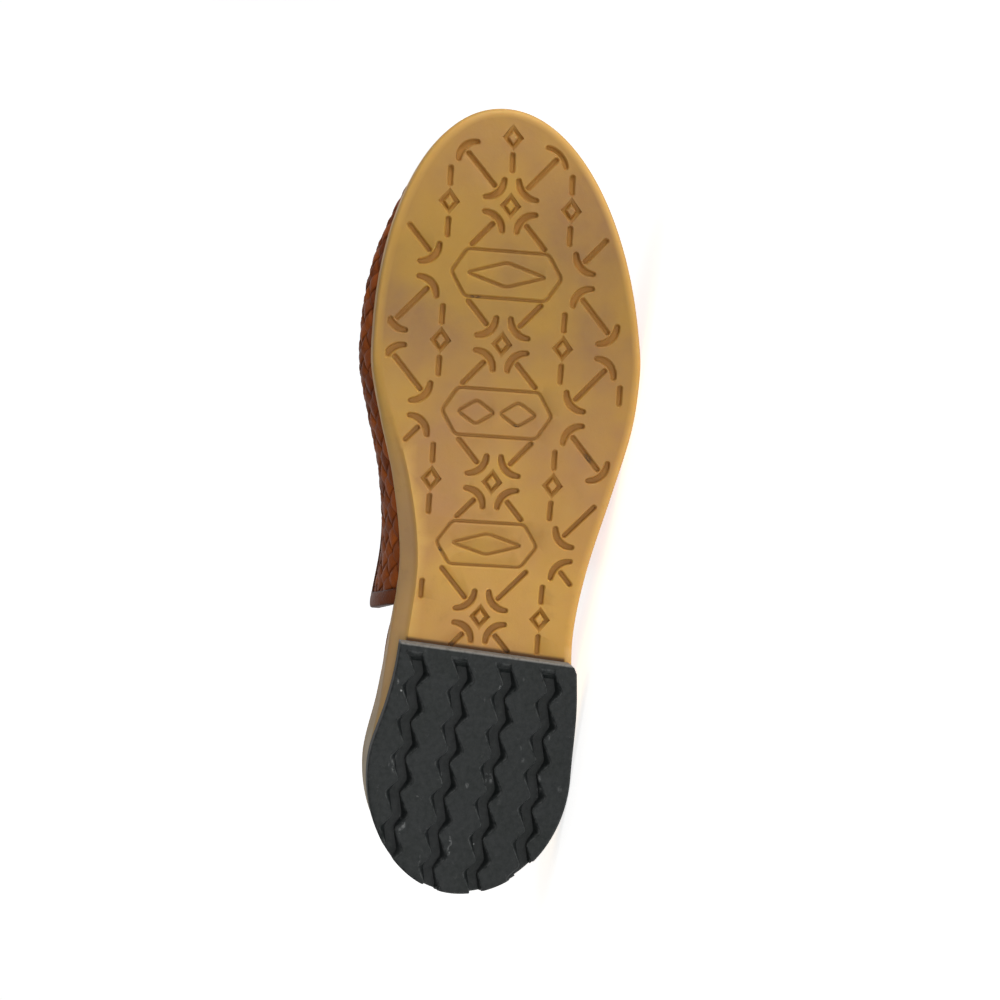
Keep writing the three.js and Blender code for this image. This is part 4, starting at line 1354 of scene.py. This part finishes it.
# The insole's rings, from its underside up and in over its top: how far inside its rim, what share of
# its thickness up, and how much of the edge's colour
INSOLE_RINGS = [
    (0.0, 0.0, 0.8), (0.0, 0.55, 0.8), (0.15, 0.85, 0.6), (0.5, 1.0, 0.3), (1.6, 1.0, 0.0),
    (6.0, 0.94, 0.0), (14.0, 0.9, 0.0),
]


def make_insole():
    shares = eased(140)
    rings = []
    for extra, rise, _ in INSOLE_RINGS:
        start = INSOLE_MARGIN_HEEL + extra
        end = SOLE_LENGTH - INSOLE_MARGIN_FRONT - extra
        x = start + shares * (end - start)
        z = top_height(sole_share(x)) + GAP + rise * INSOLE_THICKNESS
        sides = []
        for side in (OUTER, INNER):
            half = outline_half(shares, side, insole_inset(shares, side, extra))
            sides.append(np.stack([x, side * np.clip(half, 0, None), z], 1))
        rings.append(np.concatenate([sides[0], sides[1][-2:0:-1]]))
    count = len(rings[0])

    def cap(first):
        """Faces across a ring, from each side's points to those opposite."""
        rows = [(k, k + 1, count - k - 1, (count - k) % count) for k in range(len(shares) - 1)]
        return [[first + k for k in dict.fromkeys(row)] for row in rows]

    faces = ring_faces(len(rings), count)
    faces += [face[::-1] for face in cap(0)] + cap((len(rings) - 1) * count)
    edge = np.repeat([dark for _, _, dark in INSOLE_RINGS], count)
    add_piece(
        "insole_leather", np.concatenate(rings), faces, FOOTBED, "insole",
        {"tone": 0.5, "edge": edge}, 50,
    )


make_outsole()
make_lift()
make_weave()
make_band()
make_strap()
make_insole()

# The floor
FLOOR_GLOW = 0.74
FLOOR_REACH = 30.0


def stage_material():
    """A pale floor that is lit a little from within, as a studio's light table is."""
    paint = Paint("pale_floor")
    speck = paint.noise(30, 2.0, 0.5, paint.node("TexCoord").outputs["Object"])
    paint.set(Base_Color=paint.mix(speck, (0.84, 0.84, 0.83), (0.86, 0.86, 0.85)), Roughness=0.7)
    paint.set(Specular_IOR_Level=0.2, Emission_Color=(1.0, 1.0, 1.0), Emission_Strength=FLOOR_GLOW)
    return paint.material


def make_stage():
    mesh = bpy.data.meshes.new("floor")
    corners = [(x * FLOOR_REACH, y * FLOOR_REACH, 0) for x, y in ((-1, -1), (1, -1), (1, 1), (-1, 1))]
    mesh.from_pydata(corners, [], [[0, 1, 2, 3]])
    mesh.materials.append(stage_material())
    floor = bpy.data.objects.new("floor", mesh)
    bpy.context.scene.collection.objects.link(floor)


make_stage()

# Camera: seen from under the sole, from a little inside of square and a little towards the toe
VIEW_INNER = math.radians(8.26)
VIEW_TOE = math.radians(3.4)
VIEW_ROLL = math.radians(4.02)
VIEW_DISTANCE = 730.0
VIEW_TARGET = (135.0, 0.0, 9.0)
PICTURE_SIZE = 1000
PIXELS_PER_MM = 2.895
TARGET_PIXEL = (481, 502)
SENSOR = 36.0


def make_camera():
    back = np.array([
        math.sin(VIEW_TOE),
        -math.sin(VIEW_INNER) * math.cos(VIEW_TOE),
        -math.cos(VIEW_INNER) * math.cos(VIEW_TOE),
    ])
    up = np.array([1.0, 0, 0]) - back[0] * back
    up /= np.linalg.norm(up)
    right = np.cross(-back, up)
    up = up * math.cos(VIEW_ROLL) - right * math.sin(VIEW_ROLL)
    back, up = TURN @ back, TURN @ up
    right = np.cross(up, back)
    place = to_row(VIEW_TARGET)[0] + back * VIEW_DISTANCE / 1000
    data = bpy.data.cameras.new("camera")
    data.sensor_width = SENSOR
    data.lens = SENSOR * PIXELS_PER_MM * VIEW_DISTANCE / PICTURE_SIZE
    data.shift_x = (PICTURE_SIZE / 2 - TARGET_PIXEL[0]) / PICTURE_SIZE
    data.shift_y = (TARGET_PIXEL[1] - PICTURE_SIZE / 2) / PICTURE_SIZE
    data.clip_start = 0.01
    camera = bpy.data.objects.new("camera", data)
    camera.matrix_world = Matrix([*np.column_stack([right, up, back, place]).tolist(), [0, 0, 0, 1]])
    bpy.context.scene.collection.objects.link(camera)
    bpy.context.scene.camera = camera


make_camera()


# Soft studio light
LIT_PLACE = Vector((0, 0, 0.04))


def add_light(name, place, size, power, colour):
    data = bpy.data.lights.new(name, "AREA")
    data.shape = "RECTANGLE"
    data.size, data.size_y = size
    data.energy = power
    data.color = colour
    light = bpy.data.objects.new(name, data)
    light.location = place
    light.rotation_euler = (LIT_PLACE - Vector(place)).to_track_quat("-Z", "Y").to_euler()
    bpy.context.scene.collection.objects.link(light)


add_light("toe", (1.35, -0.5, 0.12), (0.3, 0.2), 10.0, (1, 0.98, 0.95))
add_light("front", (-0.2, -1.3, 0.12), (0.5, 0.2), 4.5, (1, 0.99, 0.97))
add_light("top", (0.25, 0.1, 1.2), (0.9, 0.9), 2.0, (1, 0.99, 0.98))


def make_world():
    """Pale all round, and brightest behind the shoe, low over the floor."""
    world = bpy.data.worlds.new("world")
    world.use_nodes = True
    tree = world.node_tree
    background = tree.nodes["Background"]
    background.inputs["Color"].default_value = (1, 1, 1, 1)
    place = tree.nodes.new("ShaderNodeTexCoord")
    split = tree.nodes.new("ShaderNodeSeparateXYZ")
    strength = tree.nodes.new("ShaderNodeMapRange")
    strength.interpolation_type = "SMOOTHSTEP"
    for name, value in (("From Min", 0.8), ("From Max", 0.95), ("To Min", 0.28), ("To Max", 1.02)):
        strength.inputs[name].default_value = value
    tree.links.new(place.outputs["Generated"], split.inputs["Vector"])
    tree.links.new(split.outputs["Y"], strength.inputs["Value"])
    tree.links.new(strength.outputs["Result"], background.inputs["Strength"])
    bpy.context.scene.world = world


make_world()
bpy.context.scene.view_settings.view_transform = "Standard"
